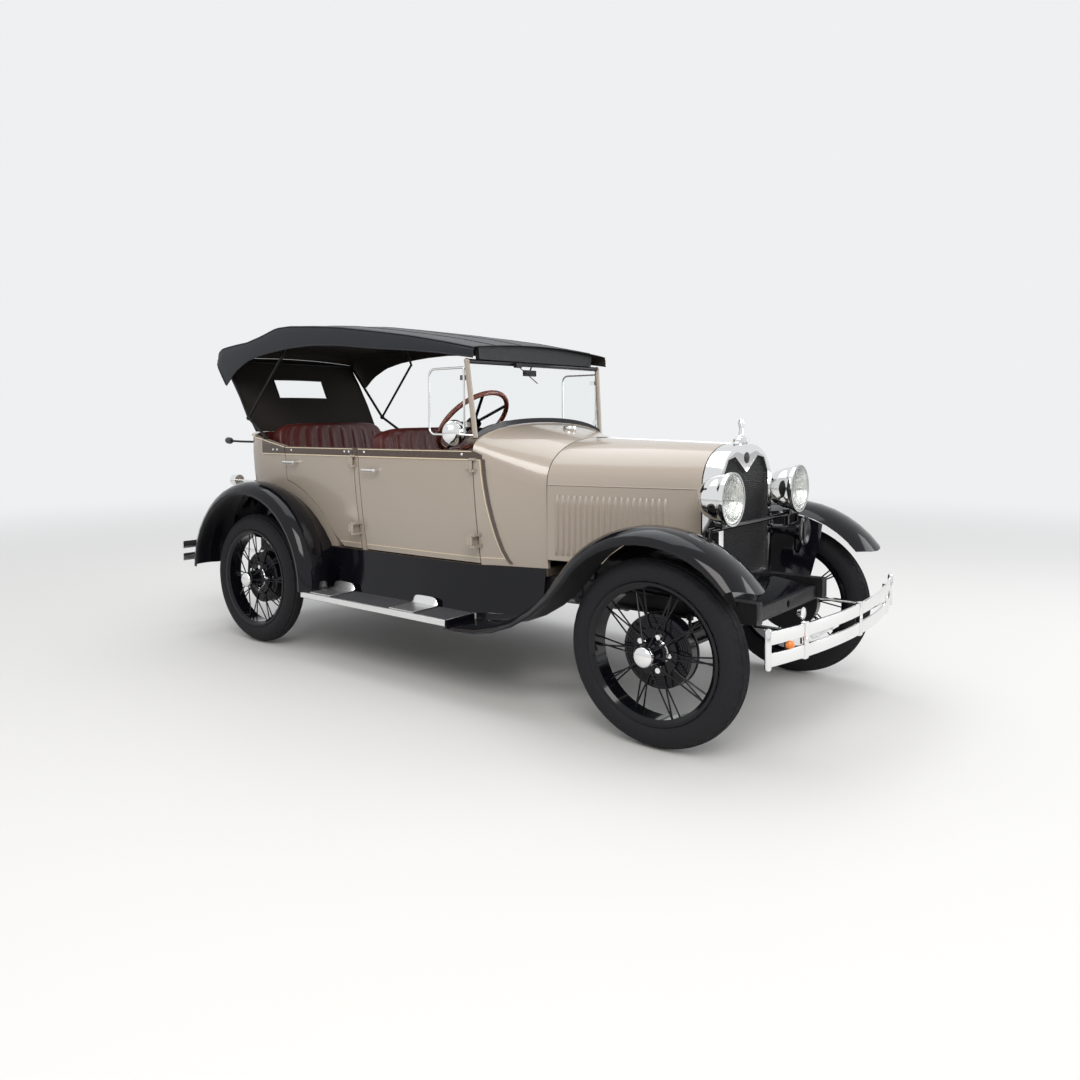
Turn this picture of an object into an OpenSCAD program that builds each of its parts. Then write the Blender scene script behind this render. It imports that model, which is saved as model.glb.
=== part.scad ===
/* [Chassis] */
// Distance between the axles
wheelbase = 2629; // [2560:1:2700]
// Distance between the wheel planes on one axle
track = 1422; // [1410:1:1436]
// Outer diameter of the tyres
tyre_diameter = 762; // [750:1:774]
// Width of the tyres
tyre_width = 118; // [108:1:124]
// Front bumper reach ahead of the front axle
front_reach = 557; // [540:1:580]
// Rear reach behind the rear axle
rear_reach = 781; // [765:1:800]
// Height of the frame rails above the wheel centres
frame_rise = 89; // [81:1:95]
// Height of the frame rails
frame_depth = 90; // [84:1:93]
// Inset of the frame rails from the rear of the hood, each side
rail_inset = 40; // [37:1:50]
// Kingpin inset from the wheel plane
kingpin_inset = 111; // [108:1:118]
// Steering arm length
steer_arm = 150; // [140:1:160]
// Brake drum radius
drum_radius = 150; // [135:1:158]

/* [Body] */
// Inset of the body side from the wheel planes
body_inset = 83; // [80:1:93]
// Height of the lower body edge above the frame
sill_rise = 46; // [42:1:52]
// Height of the belt above the lower body edge
body_height = 559; // [534:1:584]
// Narrowing of the body from belt to sill
sill_tuck = 60; // [40:1:70]
// Rise of the rear body edge above the belt
rear_rise = 84; // [70:1:96]
// Thickness of the doors and body walls
wall = 34; // [28:1:38]
// Opening between a door and its frame
door_gap = 6; // [5.5:0.5:8]
// Share of the door length taken by the front door
front_door_share = 0.552301; // [0.53:0.001:0.57]
// Width of the centre pillar
pillar = 32; // [28:1:40]

/* [Hood] */
// Hood length
hood_length = 700; // [680:1:720]
// Inset of the hood's rear end from the body, each side
cowl_inset = 188; // [178:1:198]
// Narrowing of the hood towards the front, each side
hood_taper = 160; // [150:1:170]
// Drop of the hood hinge line below the belt
hood_drop = 162; // [150:1:175]
// Rise of the hood crown at the front
crown_front_rise = 192; // [177:1:202]
// Rise of the hood crown at the rear
crown_rear_rise = 215; // [207:1:225]
// Number of louvres on each side
louvres = 19; // [12:1:22]

/* [Fenders] */
// Width of the front fenders
fender_width = 269; // [260:1:275]
// Drop of the running boards below the wheel centres
board_drop = 9; // [3:1:15]

/* [Cabin] */
// Height of the top above the belt
top_rise = 728; // [715:1:745]
// Inset of the top from the body, each side
top_inset = 26; // [20:1:33]
// Steering wheel diameter
steering_wheel_diameter = 445; // [400:5:450]

/* [Hidden] */
$fn = 48;
seat_gap = 0.3;
axle_front_x = (wheelbase + rear_reach - front_reach) / 2;
rear_axle = -wheelbase;
wheel_z = tyre_diameter / 2;
half_track = track / 2;
frame_bottom = wheel_z + frame_rise;
frame_top = frame_bottom + frame_depth;
body_width = track - 2 * body_inset;
hood_rear = body_width - 2 * cowl_inset;
hood_front = hood_rear - 2 * hood_taper;
frame_width = hood_rear - 2 * rail_inset;
sill_height = frame_top + sill_rise;
belt_height = sill_height + body_height;
hood_line = belt_height - hood_drop;
crown_front = hood_line + crown_front_rise;
crown_rear = hood_line + crown_rear_rise;
board_top = wheel_z - board_drop;
top_height = belt_height + top_rise;
top_width = body_width - 2 * top_inset;
spare_z = frame_bottom + 320;
core_low = frame_top + 50;
core_high = hood_line + 47;
core_half = hood_front / 2 - 55;
rail_out = frame_width / 2;
rail_width = 56;
kingpin_y = half_track - kingpin_inset;
body_half = body_width / 2;
hood_front_x = -20;
hood_back_x = hood_front_x - hood_length;
cowl_x = hood_back_x - door_gap;
door_front_x = -1046;
door_rear_x = rear_axle + 149;
split_front_x = mix(door_front_x, door_rear_x, front_door_share);
pillar_x = split_front_x - door_gap;
rear_door_x = pillar_x - pillar - door_gap;
quarter_x = door_rear_x - door_gap;
tail_x = rear_axle - 348;
sheet = 4;
rim_radius = tyre_diameter / 2 - 95;
tyre_core = tyre_diameter / 2 - tyre_width / 2;
board_back_x = rear_axle + 520;
fender_in = body_half - sill_tuck - 2;
fender_out = fender_in + fender_width;
board_inner = fender_in + 38;
board_outer = fender_out - 13;
rear_fender_in = body_half + 4;
arc_front = wheel_z + 94;
rear_arc = wheel_z + 159;
rear_clear = rear_arc + 56;
arc_sweep = 700;
sweep_x = -972 * (arc_front + arc_sweep) / 1175;
sweep_z = wheel_z + 661 * (arc_front + arc_sweep) / 1175;
board_front_x = sweep_x - 62.3;
crown_cowl = belt_height + 129;
rear_top = belt_height + rear_rise;
hinge_heights = [sill_height + 119, belt_height - 70];

function mix(a, b, t) = a + (b - a) * t;
function unit(v) = v / norm(v);
function mirrored(row) = [for (i = [len(row) - 1:-1:0]) [row[i][0], -row[i][1], row[i][2]]];
function both(row) = concat(row, [for (i = [len(row) - 2:-1:0]) [row[i][0], -row[i][1], row[i][2]]]);
function span(a, b, n) = [for (i = [0:n]) mix(a, b, i / n)];
function offset_grid(g, t) = [for (i = [0:len(g) - 1]) [for (j = [0:len(g[0]) - 1])
    let (u = g[min(i + 1, len(g) - 1)][j] - g[max(i - 1, 0)][j])
    let (v = g[i][min(j + 1, len(g[0]) - 1)] - g[i][max(j - 1, 0)])
    g[i][j] + t * unit(cross(u, v))]];
function inset_grid(g, t) = let (h = offset_grid(g,
    1)) [for (i = [0:len(g) - 1]) [for (j = [0:len(g[0]) - 1])
    let (n = h[i][j] - g[i][j]) g[i][j] + t * unit([0, n[1], n[2]])]];
function strip(a, b, k) = [[a, b, k + b], [a, k + b, k + a]];
function volume(p, tris) = let (v = [for (t = tris) p[t[0]] * cross(p[t[1]], p[t[2]])]) v * [for (t = v) 1];

module skin(a, b) {
    m = len(a);
    n = len(a[0]);
    k = m * n;
    pts = concat([for (r = a) each r], [for (r = b) each r]);
    outer = [for (i = [0:m - 2], j = [0:n - 2]) each
        [[i * n + j, i * n + j + 1, i * n + n + j + 1], [i * n + j, i * n + n + j + 1, i * n + n + j]]];
    inner = [for (t = outer) [k + t[2], k + t[1], k + t[0]]];
    rim = concat([for (i = [0:m - 2]) each strip(i * n, i * n + n, k)],
        [for (i = [0:m - 2]) each strip(i * n + n + n - 1, i * n + n - 1, k)],
        [for (j = [0:n - 2]) each strip(j + 1, j, k)],
        [for (j = [0:n - 2]) each strip((m - 1) * n + j, (m - 1) * n + j + 1, k)]);
    tris = concat(outer, inner, rim);
    turned = volume(pts, tris) > 0 ? [for (t = tris) [t[2], t[1], t[0]]] : tris;
    polyhedron(points = pts, faces = turned);
}

module place() {
    translate([axle_front_x, 0, 0]) children();
}

module right_and_left() {
    children();
    mirror([0, 1, 0]) children();
}

module rod(a, b, r) {
    d = b - a;
    translate(a)
        rotate([0, acos(d[2] / norm(d)), atan2(d[1], d[0])])
        cylinder(h = norm(d), r = r);
}

// Half width of the body at the belt, by distance from the front axle
function belt_half(x) = lookup(x, [[tail_x, body_half - 25], [rear_axle, body_half - 8],
    [door_rear_x, body_half - 4], [pillar_x, body_half], [door_front_x - 400, body_half - 8],
    [door_front_x, body_half - 28], [cowl_x, hood_rear / 2]]);
function tuck(z) = sill_tuck * pow(max(0, belt_height - z) / (belt_height - sill_height), 1.6);
function side_y(x, z) = belt_half(x) - tuck(z);
// Top of the rear fender at a distance from the front axle
function rear_fender_z(x) = wheel_z + sqrt(max(0, pow(rear_clear, 2) - pow(x - rear_axle, 2)));

function hood_half(x) = mix(hood_front / 2, hood_rear / 2,
    (x - hood_front_x) / (hood_back_x - hood_front_x));
function hood_crown(x) = mix(crown_front, crown_rear, (x - hood_front_x) / (hood_back_x - hood_front_x));
function arch(x, w, low, high, a) = [x, -w * pow(cos(a), 0.9), low + (high - low) * pow(sin(a), 0.9)];

function cowl_tuck(x) = min(1, cowl_t(x) + 0.2);
function cowl_t(x) = (x - cowl_x) / (door_front_x - cowl_x);
function cowl_line(x) = mix(hood_line, belt_height, cowl_t(x));
function cowl_crown(x) = mix(crown_rear + 2, crown_cowl, cowl_t(x));
function cowl_side(x) = [for (z = span(floor_top + seat_gap, cowl_line(x), 5))
    [x, -(belt_half(x) - tuck(z) * cowl_tuck(x)), z]];
function cowl_row(x) = both(concat([for (p = [0:4]) cowl_side(x)[p]],
    [for (a = span(0, 90, 9)) arch(x, belt_half(x) - tuck(cowl_line(x)) * cowl_tuck(x),
        cowl_line(x), cowl_crown(x), a)]));
function cowl_grid() = [for (x = span(cowl_x, door_front_x, 6)) cowl_row(x)];
function cowl_z(x, y) = cowl_line(x) + (cowl_crown(x) - cowl_line(x))
    * pow(1 - pow(min(1, abs(y) / belt_half(x)), 1 / 0.45), 0.45);

module wheel_shape(drum = true) {
    difference() {
        union() {
            rotate_extrude($fn = 96)
                polygon([[rim_radius - 27, -40], [rim_radius - 27, 40], [rim_radius - 12, 52],
                    [rim_radius, 52], [rim_radius, 45], [rim_radius - 8, 38], [rim_radius - 8, -38],
                    [rim_radius, -45], [rim_radius, -52], [rim_radius - 12, -52]]);
            rotate_extrude()
                polygon(concat(drum ? [[0, -56], [drum_radius, -56], [drum_radius, -12],
                    [drum_radius - 10, -8]] : [[0, -8]],
                    [[96, -8], [96, 6], [60, 10], [46, 26], [40, 94], [34, 96], [34, 108], [28, 116],
                        [0, 116]]));
            for (i = [0:9])
                rotate([0, 0, i * 36])
                rod([34, 0, 80], [rim_radius - 20, 0, 16], 3.5);
            for (i = [0:9], s = [-1, 1])
                rotate([0, 0, i * 36 + 18 + s * 6])
                rod([84, s * 12, 0], [(rim_radius - 20) * cos(s * 16), (rim_radius - 20) * sin(s * 16),
                    -14], 3.5);
            for (i = [0:4])
                rotate([0, 0, i * 72])
                translate([69.85, 0, 0])
                cylinder(h = 26, r = 12, $fn = 6);
        }
        translate([0, 0, -60]) cylinder(h = 120, r = 18.3);
        translate([0, 0, -57]) cylinder(h = 40, r = drum_radius - 8);
    }
}

module tyre_shape() {
    rotate_extrude($fn = 96)
        difference() {
            translate([tyre_core, 0]) circle(r = tyre_width / 2);
            translate([0, -100]) square([rim_radius + seat_gap, 200]);
        }
}

module at_wheel(x, side, z) {
    translate([x, side * half_track, z]) rotate([-side * 90, 0, 0]) children();
}

// Crest line of the front fender: position, then outward direction; tip shortens the front end
function fender_line(s, tip) = s <= 1
    ? let (a = mix(34 + tip, 145.8, s)) [cos(a) * arc_front, wheel_z + arc_front * sin(a), cos(a), sin(a)]
    : s <= 2
    ? let (a = mix(-34.2, -90, s - 1)) [sweep_x + arc_sweep * cos(a), sweep_z + arc_sweep * sin(a),
        -cos(a), -sin(a)]
    : [sweep_x - 62 * (s - 2), sweep_z - arc_sweep, 0, 1];
// Cross section of the front fender: share of its width, then lift above the line
fender_section = [[0.989, -34], [1, -22], [0.97, -4], [0.888, 14], [0.77, 27], [0.628, 33], [0.442, 33],
    [0.257, 24],
    [0.108, 6], [0, -16]];
function fender_row(s) = [for (c = fender_section)
    let (p = fender_line(s, 7 * pow((c[0] - 0.45) / 0.55, 2)),
        k = c[1] * (s > 1 ? max(0.25, 1 - (s - 1) * 0.75) : 1))
    [p[0] + p[2] * k, -mix(fender_in, fender_out, c[0]), p[1] + p[3] * k]];
function rear_line(a) = [rear_axle + rear_arc * cos(a), wheel_z + rear_arc * sin(a), cos(a), sin(a)];
rear_section = [[0.985, -34], [1, -20], [0.961, 0], [0.852, 22], [0.68, 36], [0.458, 40], [0.236, 36],
    [0.089, 20], [0, 0]];
rear_foot = asin((board_top + 0.4 - wheel_z) / (rear_arc + 40));
function rear_row(a) = let (p = rear_line(a), n = len(rear_section))
    let (q = [for (c = rear_section) [p[0] + p[2] * c[1], -mix(rear_fender_in, fender_out, c[0]),
        p[1] + p[3] * c[1]]])
    [for (i = [0:n - 1]) i < n - 1 ? q[i] : [q[i][0], -side_y(max(q[i][0], tail_x),
        max(q[i][2], sill_height)) - 1.2, q[i][2]]];

module frame() {
    color("black") place() {
        right_and_left()
            translate([rear_axle - 420, -rail_out, frame_bottom])
            cube([wheelbase + 420 + 280, rail_width, frame_depth]);
        translate([rear_axle - 30, -rail_out + rail_width - 1, frame_top - 18])
            cube([60, frame_width - 2 * rail_width + 2, 18]);
        for (x = [0, -1150, rear_axle + 330, rear_axle - 390])
            translate([x - 30, -rail_out + rail_width - 1, frame_bottom + 10])
            cube([60, frame_width - 2 * rail_width + 2, frame_depth - 10]);
        difference() {
            translate([230, -rail_out + rail_width - 1, frame_bottom - 5])
                cube([24, frame_width - 2 * rail_width + 2, 60]);
            translate([220, 0, frame_bottom + 25]) rotate([0, 90, 0]) cylinder(h = 50, r = 16);
        }
        translate([rear_axle - 428, -60, frame_bottom + 20]) cube([14, 120, 360]);
        translate([rear_axle - 530, 0, spare_z]) rotate([0, 90, 0]) cylinder(h = 110, r = 18);
    }
}

module front_axle() {
    color("black") place() {
        difference() {
            union() {
                translate([-22, -kingpin_y, wheel_z - 30]) cube([44, 2 * kingpin_y, 14]);
                translate([-22, -kingpin_y, wheel_z + 12]) cube([44, 2 * kingpin_y, 14]);
                translate([-7, -kingpin_y, wheel_z - 20]) cube([14, 2 * kingpin_y, 36]);
                for (s = [-1, 1])
                    translate([0, s * kingpin_y, wheel_z - 31]) cylinder(h = 62, r = 22);
                for (s = [-1, 1])
                    translate([-20, s * (half_track - 361) - 14, wheel_z + 20])
                        cube([40, 28, frame_bottom - wheel_z - 70]);
            }
            for (s = [-1, 1])
                translate([0, s * kingpin_y, wheel_z - 60]) cylinder(h = 120, r = 10.3);
        }
    }
}

module springs() {
    reach = half_track - 311;
    color("black") place() {
        for (i = [0:3])
            translate([-25, 347 - half_track + i * 75, frame_bottom - 50 + seat_gap + i * 11.2])
            cube([50, track - 694 - i * 150, 11.3]);
        translate([-25, -60, frame_bottom - 48]) cube([50, 120, 58 - seat_gap]);
        translate([rear_axle - 30, 0, wheel_z]) rotate([90, 0, 90]) linear_extrude(height = 60)
            polygon([[-reach, 52], [30 - reach, 52], [-150, 134], [150, 134], [reach - 30, 52], [reach, 52],
                [reach, 66], [reach - 28, 66], [152, 148], [60, 148],
                [60, frame_top - 18 - wheel_z - seat_gap], [-60, frame_top - 18 - wheel_z - seat_gap],
                [-60, 148], [-152, 148], [28 - reach, 66], [-reach, 66]]);
    }
}

module rear_axle() {
    color("black") place() {
        difference() {
            union() {
                translate([rear_axle, -half_track + 66, wheel_z]) rotate([-90, 0, 0])
                    cylinder(h = track - 132, r = 36);
                translate([rear_axle, 0, wheel_z]) sphere(r = 130, $fn = 64);
                translate([rear_axle + 60, 0, wheel_z]) rotate([0, 90, 0]) cylinder(h = 1080, r = 34);
                for (s = [-1, 1])
                    translate([rear_axle, s * (half_track - 66), wheel_z]) rotate([s * 90, 0, 0])
                    cylinder(h = 6, r = drum_radius + 3);
                for (s = [-1, 1])
                    translate([rear_axle, s * (half_track - 66), wheel_z]) rotate([-s * 90, 0, 0])
                    cylinder(h = 100, r = 18);
                for (s = [-1, 1])
                    translate([rear_axle - 25, s * (half_track - 326) - 15, wheel_z])
                        cube([50, 30, 52 - seat_gap]);
            }
        }
    }
}

module engine() {
    color("darkgreen") place() {
        w = rail_out / 400;
        translate([-700, -150 * w, frame_bottom - 25]) cube([560, 300 * w, 430]);
        translate([-660, -110 * w, frame_bottom + 390]) cube([500, 190 * w, 90]);
        translate([-1120, -110 * w, frame_bottom - 30]) cube([430, 220 * w, frame_depth + 25]);
        for (x = [-250, -640])
            translate([x, -rail_out + rail_width + seat_gap, frame_bottom + 30])
            cube([50, frame_width - 2 * rail_width - 2 * seat_gap, 30]);
        translate([-141, 0, frame_bottom + 290]) rotate([0, 90, 0]) cylinder(h = 50, r = 30);
        translate([-100, 0, frame_bottom + 290]) rotate([0, 90, 0]) cylinder(h = 10, r = 190 * w);
        translate([-450, -200 * w, frame_bottom + 310]) cube([160, 60 * w, 60]);
    }
}

module exhaust() {
    y = -0.5625 * rail_out;
    color("dimgray") place() {
        rod([-420, y, frame_bottom + 290], [-420, y, frame_bottom - 40], 22);
        translate([-420, y, frame_bottom - 40]) sphere(r = 25);
        rod([-420, y, frame_bottom - 40], [-1250, y, frame_bottom - 60], 22);
        rod([-1230, y, frame_bottom - 60], [-1750, y, frame_bottom - 60], 62);
        rod([-1750, y, frame_bottom - 60], [rear_axle + 150, y, frame_bottom - 60], 20);
        translate([-1180, y - 25, frame_bottom - 70]) cube([14, 50, 80 - seat_gap]);
    }
}

function shell_row(x, grow) = [for (a = span(0, 90, 10))
    arch(x, hood_front / 2 + grow, hood_line, crown_front + grow, a)];
function shell_outline(grow, low) = let (r = shell_row(0, grow))
    concat([[r[0][1], low]], [for (p = r) [p[1], p[2]]], [for (i = [9:-1:0]) [-r[i][1], r[i][2]]],
        [[-r[0][1], low]]);

// Upper edge of the shell's opening, from the side to the point in the middle
shell_notch = [[core_half + 11, 10], [core_half - 35, 78], [core_half * 0.533, 90], [0, 16]];

module radiator_core() {
    color("black") place()
        translate([-8, -core_half, core_low]) cube([54, 2 * core_half, core_high - core_low]);
}

module radiator_shell() {
    color("silver") place() {
        rod([-12, 0, crown_front - 2], [cowl_x + seat_gap, 0, crown_rear - 2], hinge_rod);
        difference() {
            translate([-14, 0, 0]) rotate([90, 0, 90]) linear_extrude(height = 76)
                polygon(shell_outline(0, frame_top + seat_gap));
            translate([-20, 0, 0]) rotate([90, 0, 90]) linear_extrude(height = 90)
                polygon([[-core_half - seat_gap, core_low - seat_gap],
                    [core_half + seat_gap, core_low - seat_gap],
                    [core_half + seat_gap, core_high + seat_gap],
                        [-core_half - seat_gap, core_high + seat_gap]]);
            translate([48, 0, 0]) rotate([90, 0, 90]) linear_extrude(height = 30)
                polygon(concat([[-core_half - 11, core_low - 10], [core_half + 11, core_low - 10]],
                    [for (q = shell_notch) [q[0], core_high + q[1]]],
                    [for (i = [len(shell_notch) - 2:-1:0]) [-shell_notch[i][0],
                        core_high + shell_notch[i][1]]]));
            translate([-20, 0, 0]) rotate([90, 0, 90]) linear_extrude(height = 30)
                polygon([[45 - core_half, core_high + 1], [core_half - 45, core_high + 1],
                    [core_half * 0.533, core_high + 70], [-core_half * 0.533, core_high + 70]]);
        }
    }
}

module radiator_cap() {
    color("silver") place()
        translate([35, 0, crown_front + seat_gap])
        rotate_extrude()
        polygon([[0, 0], [30, 0], [36, 8], [36, 20], [20, 28], [12, 40], [9, 70], [14, 90], [10, 108],
            [0, 114]]);
}

module cowl() {
    color("tan") place() {
        g = cowl_grid();
        skin(g, inset_grid(g, 20));
        dash();
        for (s = [-1, 1], z = hinge_heights)
            hinge_pin(front_hinge_x(), front_hinge_y(), s, z, side_y(door_front_x, z));
        translate([-889, 0, cowl_crown(-889) - 12]) cylinder(h = 30, r = 32);
    }
}

module dash() {
    row = [for (a = span(20, 160, 14)) arch(door_front_x, belt_half(door_front_x), belt_height,
        cowl_crown(door_front_x), min(a, 180 - a))];
    g = [for (x = [door_front_x + 6, door_front_x - 70]) [for (i = [0:14]) [x,
        i > 7 ? -row[i][1] : row[i][1], row[i][2]]]];
    skin(g, [for (r = g) [for (q = r) [q[0], q[1] * 0.97, q[2] - 17]]]);
}

// Hinge lines of the doors
function front_hinge_x() = door_front_x - door_gap / 2;
function front_hinge_y() = belt_half(door_front_x) + 14;
function rear_hinge_x() = pillar_x - pillar - door_gap / 2;
function rear_hinge_y() = belt_half(pillar_x) + 14;

module hinge_pin(x, y, s, z, inner) {
    d = y - inner + 12;
    translate([x, s * y, z - 34]) cylinder(h = 68, r = 4.5);
    for (k = [-34, 22])
        translate([x, s * y, z + k]) cylinder(h = 12, r = 8);
    for (k = [-34, 22])
        translate([x, s * (y - d / 2) - d / 2, z + k]) cube([20, d, 12]);
}

module door_hinge(x, y, inner, z) {
    d = y - inner + 10;
    difference() {
        union() {
            translate([x, -y, z - 20]) cylinder(h = 40, r = 8);
            translate([x - 30, -y, z - 20]) cube([30, d, 40]);
        }
        translate([x, -y, z - 40]) cylinder(h = 80, r = 4.8);
        translate([x - door_gap / 2 - 0.01, -y + 9, z - 40]) cube([40, d, 80]);
    }
}

module firewall() {
    color("black") place()
        difference() {
            translate([cowl_x - 45, 0, 0]) rotate([90, 0, 90]) linear_extrude(height = 6)
                polygon(concat([[-hood_rear / 2 + 28, floor_top + seat_gap],
                    [-hood_rear / 2 + 28, hood_line]],
                    [for (a = [30, 60, 90, 120, 150]) [-(hood_rear / 2 - 28) * cos(a),
                        hood_line + (crown_rear - 22 - hood_line) * sin(a)]],
                    [[hood_rear / 2 - 28, hood_line], [hood_rear / 2 - 28, floor_top + seat_gap]]));
            column_hole();
        }
}

// Steering column from the box to the wheel
column_foot = [-560, 40 - rail_out, frame_top + 35];
column_head = [door_front_x - 244, 90 - rail_out, belt_height + 135];
column_dir = unit(column_head - column_foot);

module column_hole() {
    rod(column_foot, column_head, 30);
}

floor_top = sill_height - 6;
cowl_kink = mix(cowl_x, door_front_x, 0.8);
function floor_half(x) = (x > door_front_x ? belt_half(x) - tuck(sill_height) * cowl_tuck(x) : side_y(x,
    sill_height)) - 4;

module floor() {
    xs = [cowl_x - 2, cowl_kink, door_front_x, door_front_x - 400, pillar_x, door_rear_x, rear_axle,
        tail_x + 300];
    color("black") place()
        difference() {
            translate([0, 0, frame_top + seat_gap])
                linear_extrude(height = floor_top - frame_top - seat_gap)
                polygon(concat([for (x = xs) [x, floor_half(x)]], [[tail_x + 90, 380], [tail_x + 90, -380]],
                    [for (i = [len(xs) - 1:-1:0]) [xs[i], -floor_half(xs[i])]]));
            column_hole();
        }
}

function quarter_path() = concat([for (x = span(quarter_x, tail_x + 230, 3)) [x, belt_half(x)]],
    [for (a = [22.5, 45, 67.5, 90]) [tail_x + 230 - 230 * sin(a),
        belt_half(tail_x + 230) - 230 * (1 - cos(a))]],
    [[tail_x - 4, 180], [tail_x - 6, 0]]);
function path_normal(p, i) = let (d = p[min(i + 1, len(p) - 1)] - p[max(i - 1, 0)]) unit([d[1], -d[0]]);
function quarter_top(x) = lookup(x, [[tail_x, rear_top], [tail_x + 230, belt_height + 50],
    [quarter_x, belt_height]]);
function quarter_row(t, inset) = let (p = quarter_path())
    both([for (i = [0:len(p) - 1])
        let (q = p[i], n = path_normal(p, i), z = mix(floor_top + seat_gap, quarter_top(q[0]), t),
            k = tuck(z) + inset)
        [q[0] - n[0] * k * (i == 0 ? 0 : 1), -(q[1] - abs(n[1]) * k), z]]);

module rear_body() {
    color("tan") place()
        union() {
            skin([for (t = span(0, 1, 6)) quarter_row(t, 0)],
                [for (t = span(0, 1, 6)) quarter_row(t, wall)]);
            right_and_left() skin(house_panel(0), house_panel(wall));
        }
}

house_front_x = rear_axle + sqrt(rear_clear * rear_clear - pow(sill_height + 20 - wheel_z, 2));
function house_panel(t) = [for (x = span(quarter_x + seat_gap, house_front_x, 6)) [for (k = span(0, 1, 4))
    let (z = mix(floor_top + seat_gap, house_top(x), k)) [x, -(side_y(x, z) - t), z]]];

function panel(x0, x1, nx, low, t) = [for (x = span(x0, x1, nx)) [for (k = span(0, 1, 6))
    let (z = mix(low(x), belt_height, k)) [x, -(side_y(x, z) - t), z]]];
flat_low = function (x) sill_height + 2;
house_top = function (x) rear_fender_z(x) + 12 - door_gap;
cut_low = function (x) max(sill_height + 2, x < rear_axle + 600 ? rear_fender_z(x) + 12 : 0);

module door_panel(x0, x1, nx, low) {
    skin(panel(x0, x1, nx, low, 0), panel(x0, x1, nx, low, wall));
}

module handle(x, z) {
    y = side_y(x, z);
    translate([x, -y + 6, z]) rotate([90, 0, 0]) cylinder(h = 44, r = 9);
    translate([x + 12, -y - 32, z]) rotate([0, -90, 0]) cylinder(h = 110, r = 7);
}

module front_door() {
    door_panel(door_front_x - door_gap, split_front_x, 4, flat_low);
    for (z = hinge_heights)
        door_hinge(front_hinge_x(), front_hinge_y(), side_y(door_front_x - 30, z), z);
    handle(split_front_x + 150, belt_height - 115);
}

module rear_door() {
    door_panel(rear_door_x, door_rear_x, 8, cut_low);
    for (z = hinge_heights)
        door_hinge(rear_hinge_x(), rear_hinge_y(), side_y(rear_door_x - 20, z), z);
    handle(door_rear_x + 110, belt_height - 90);
}

module front_door_right() {
    color("tan") place() front_door();
}

module front_door_left() {
    color("tan") place() mirror([0, 1, 0]) front_door();
}

module rear_door_right() {
    color("tan") place() rear_door();
}

module rear_door_left() {
    color("tan") place() mirror([0, 1, 0]) rear_door();
}

module hinge_posts() {
    color("tan") place() {
        low = function (x) floor_top + seat_gap;
        right_and_left()
            skin(panel(pillar_x, pillar_x - pillar, 1, low, 0),
                panel(pillar_x, pillar_x - pillar, 1, low, wall + 6));
        for (s = [-1, 1], z = hinge_heights)
            hinge_pin(rear_hinge_x(), rear_hinge_y(), s, z, side_y(pillar_x, z));
    }
}

module seat_shape(x, w, back) {
    translate([x, w / 2, 0]) rotate([90, 0, 0]) linear_extrude(height = w)
        polygon([[0, floor_top + seat_gap], [0, sill_height + 230], [-30, sill_height + 265],
            [-120, sill_height + 270],
            [-430, sill_height + 240], [-520, back - 30], [-545, back], [-590, back], [-610, back - 30],
            [-560, sill_height + 60], [-560, floor_top + seat_gap]]);
}

module seats() {
    color("maroon") place() {
        seat_shape(door_front_x - 240, body_width - 256, belt_height + 105);
        seat_shape(tail_x + 725, body_width - 356, belt_height + 135);
    }
}

screen_x = door_front_x - 14;
screen_lean = 35;
screen_half = body_half - 68;
screen_foot = belt_height + 47;
screen_top = top_height - 293;
screen_height = screen_top - screen_foot;

function screen_at(z) = screen_x - screen_lean * (z - screen_foot) / screen_height;

module screen_plate(thick, pts) {
    multmatrix([[1, 0, -screen_lean / screen_height,
        screen_x + screen_lean * screen_foot / screen_height - thick / 2],
            [0, 1, 0, 0], [0, 0, 1, 0]])
        rotate([90, 0, 90]) linear_extrude(height = thick) polygon(pts);
}

function screen_low(y) = cowl_z(door_front_x, y) + 26;

module windscreen_frame() {
    color("black") place() {
        low = [for (y = span(-screen_half + 6, screen_half - 6, 32)) [y, cowl_z(door_front_x, y) + 1.5]];
        high = [for (y = span(screen_half - 6, -screen_half + 6, 32)) [y, screen_low(y)]];
        screen_plate(16, concat(low, high));
        foot = cowl_z(door_front_x, screen_half - 13) + seat_gap;
        for (s = [-1, 1])
            rod([screen_at(foot), s * screen_half, foot],
                [screen_at(screen_top), s * (screen_half + 22), screen_top], 13);
        for (s = [-1, 1])
            translate([screen_at(screen_top), s * (screen_half + 22), screen_top]) sphere(r = 14.5);
        translate([screen_at(screen_top), -screen_half - 22, screen_top]) rotate([-90, 0, 0])
            cylinder(h = 2 * screen_half + 44, r = 12);
    }
}

module windscreen_glass() {
    color("lightblue") place() {
        screen_plate(5, concat([for (y = span(-screen_half + 16, screen_half - 16, 32)) [y,
            screen_low(y) + 2 * seat_gap]],
            [[screen_half + 4, screen_top - 14], [-screen_half - 4, screen_top - 14]]));
        right_and_left()
            translate([screen_at(mix(screen_foot, screen_top, 0.5)) - 265, -screen_half - 32,
                screen_foot + 28])
            cube([235, 5, screen_height - 58]);
        right_and_left()
            for (z = [screen_foot + 78, screen_top - 80])
                translate([screen_at(z) - 46.7, -screen_half - 32, z - 12]) cube([32, 26, 24]);
    }
}

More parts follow.
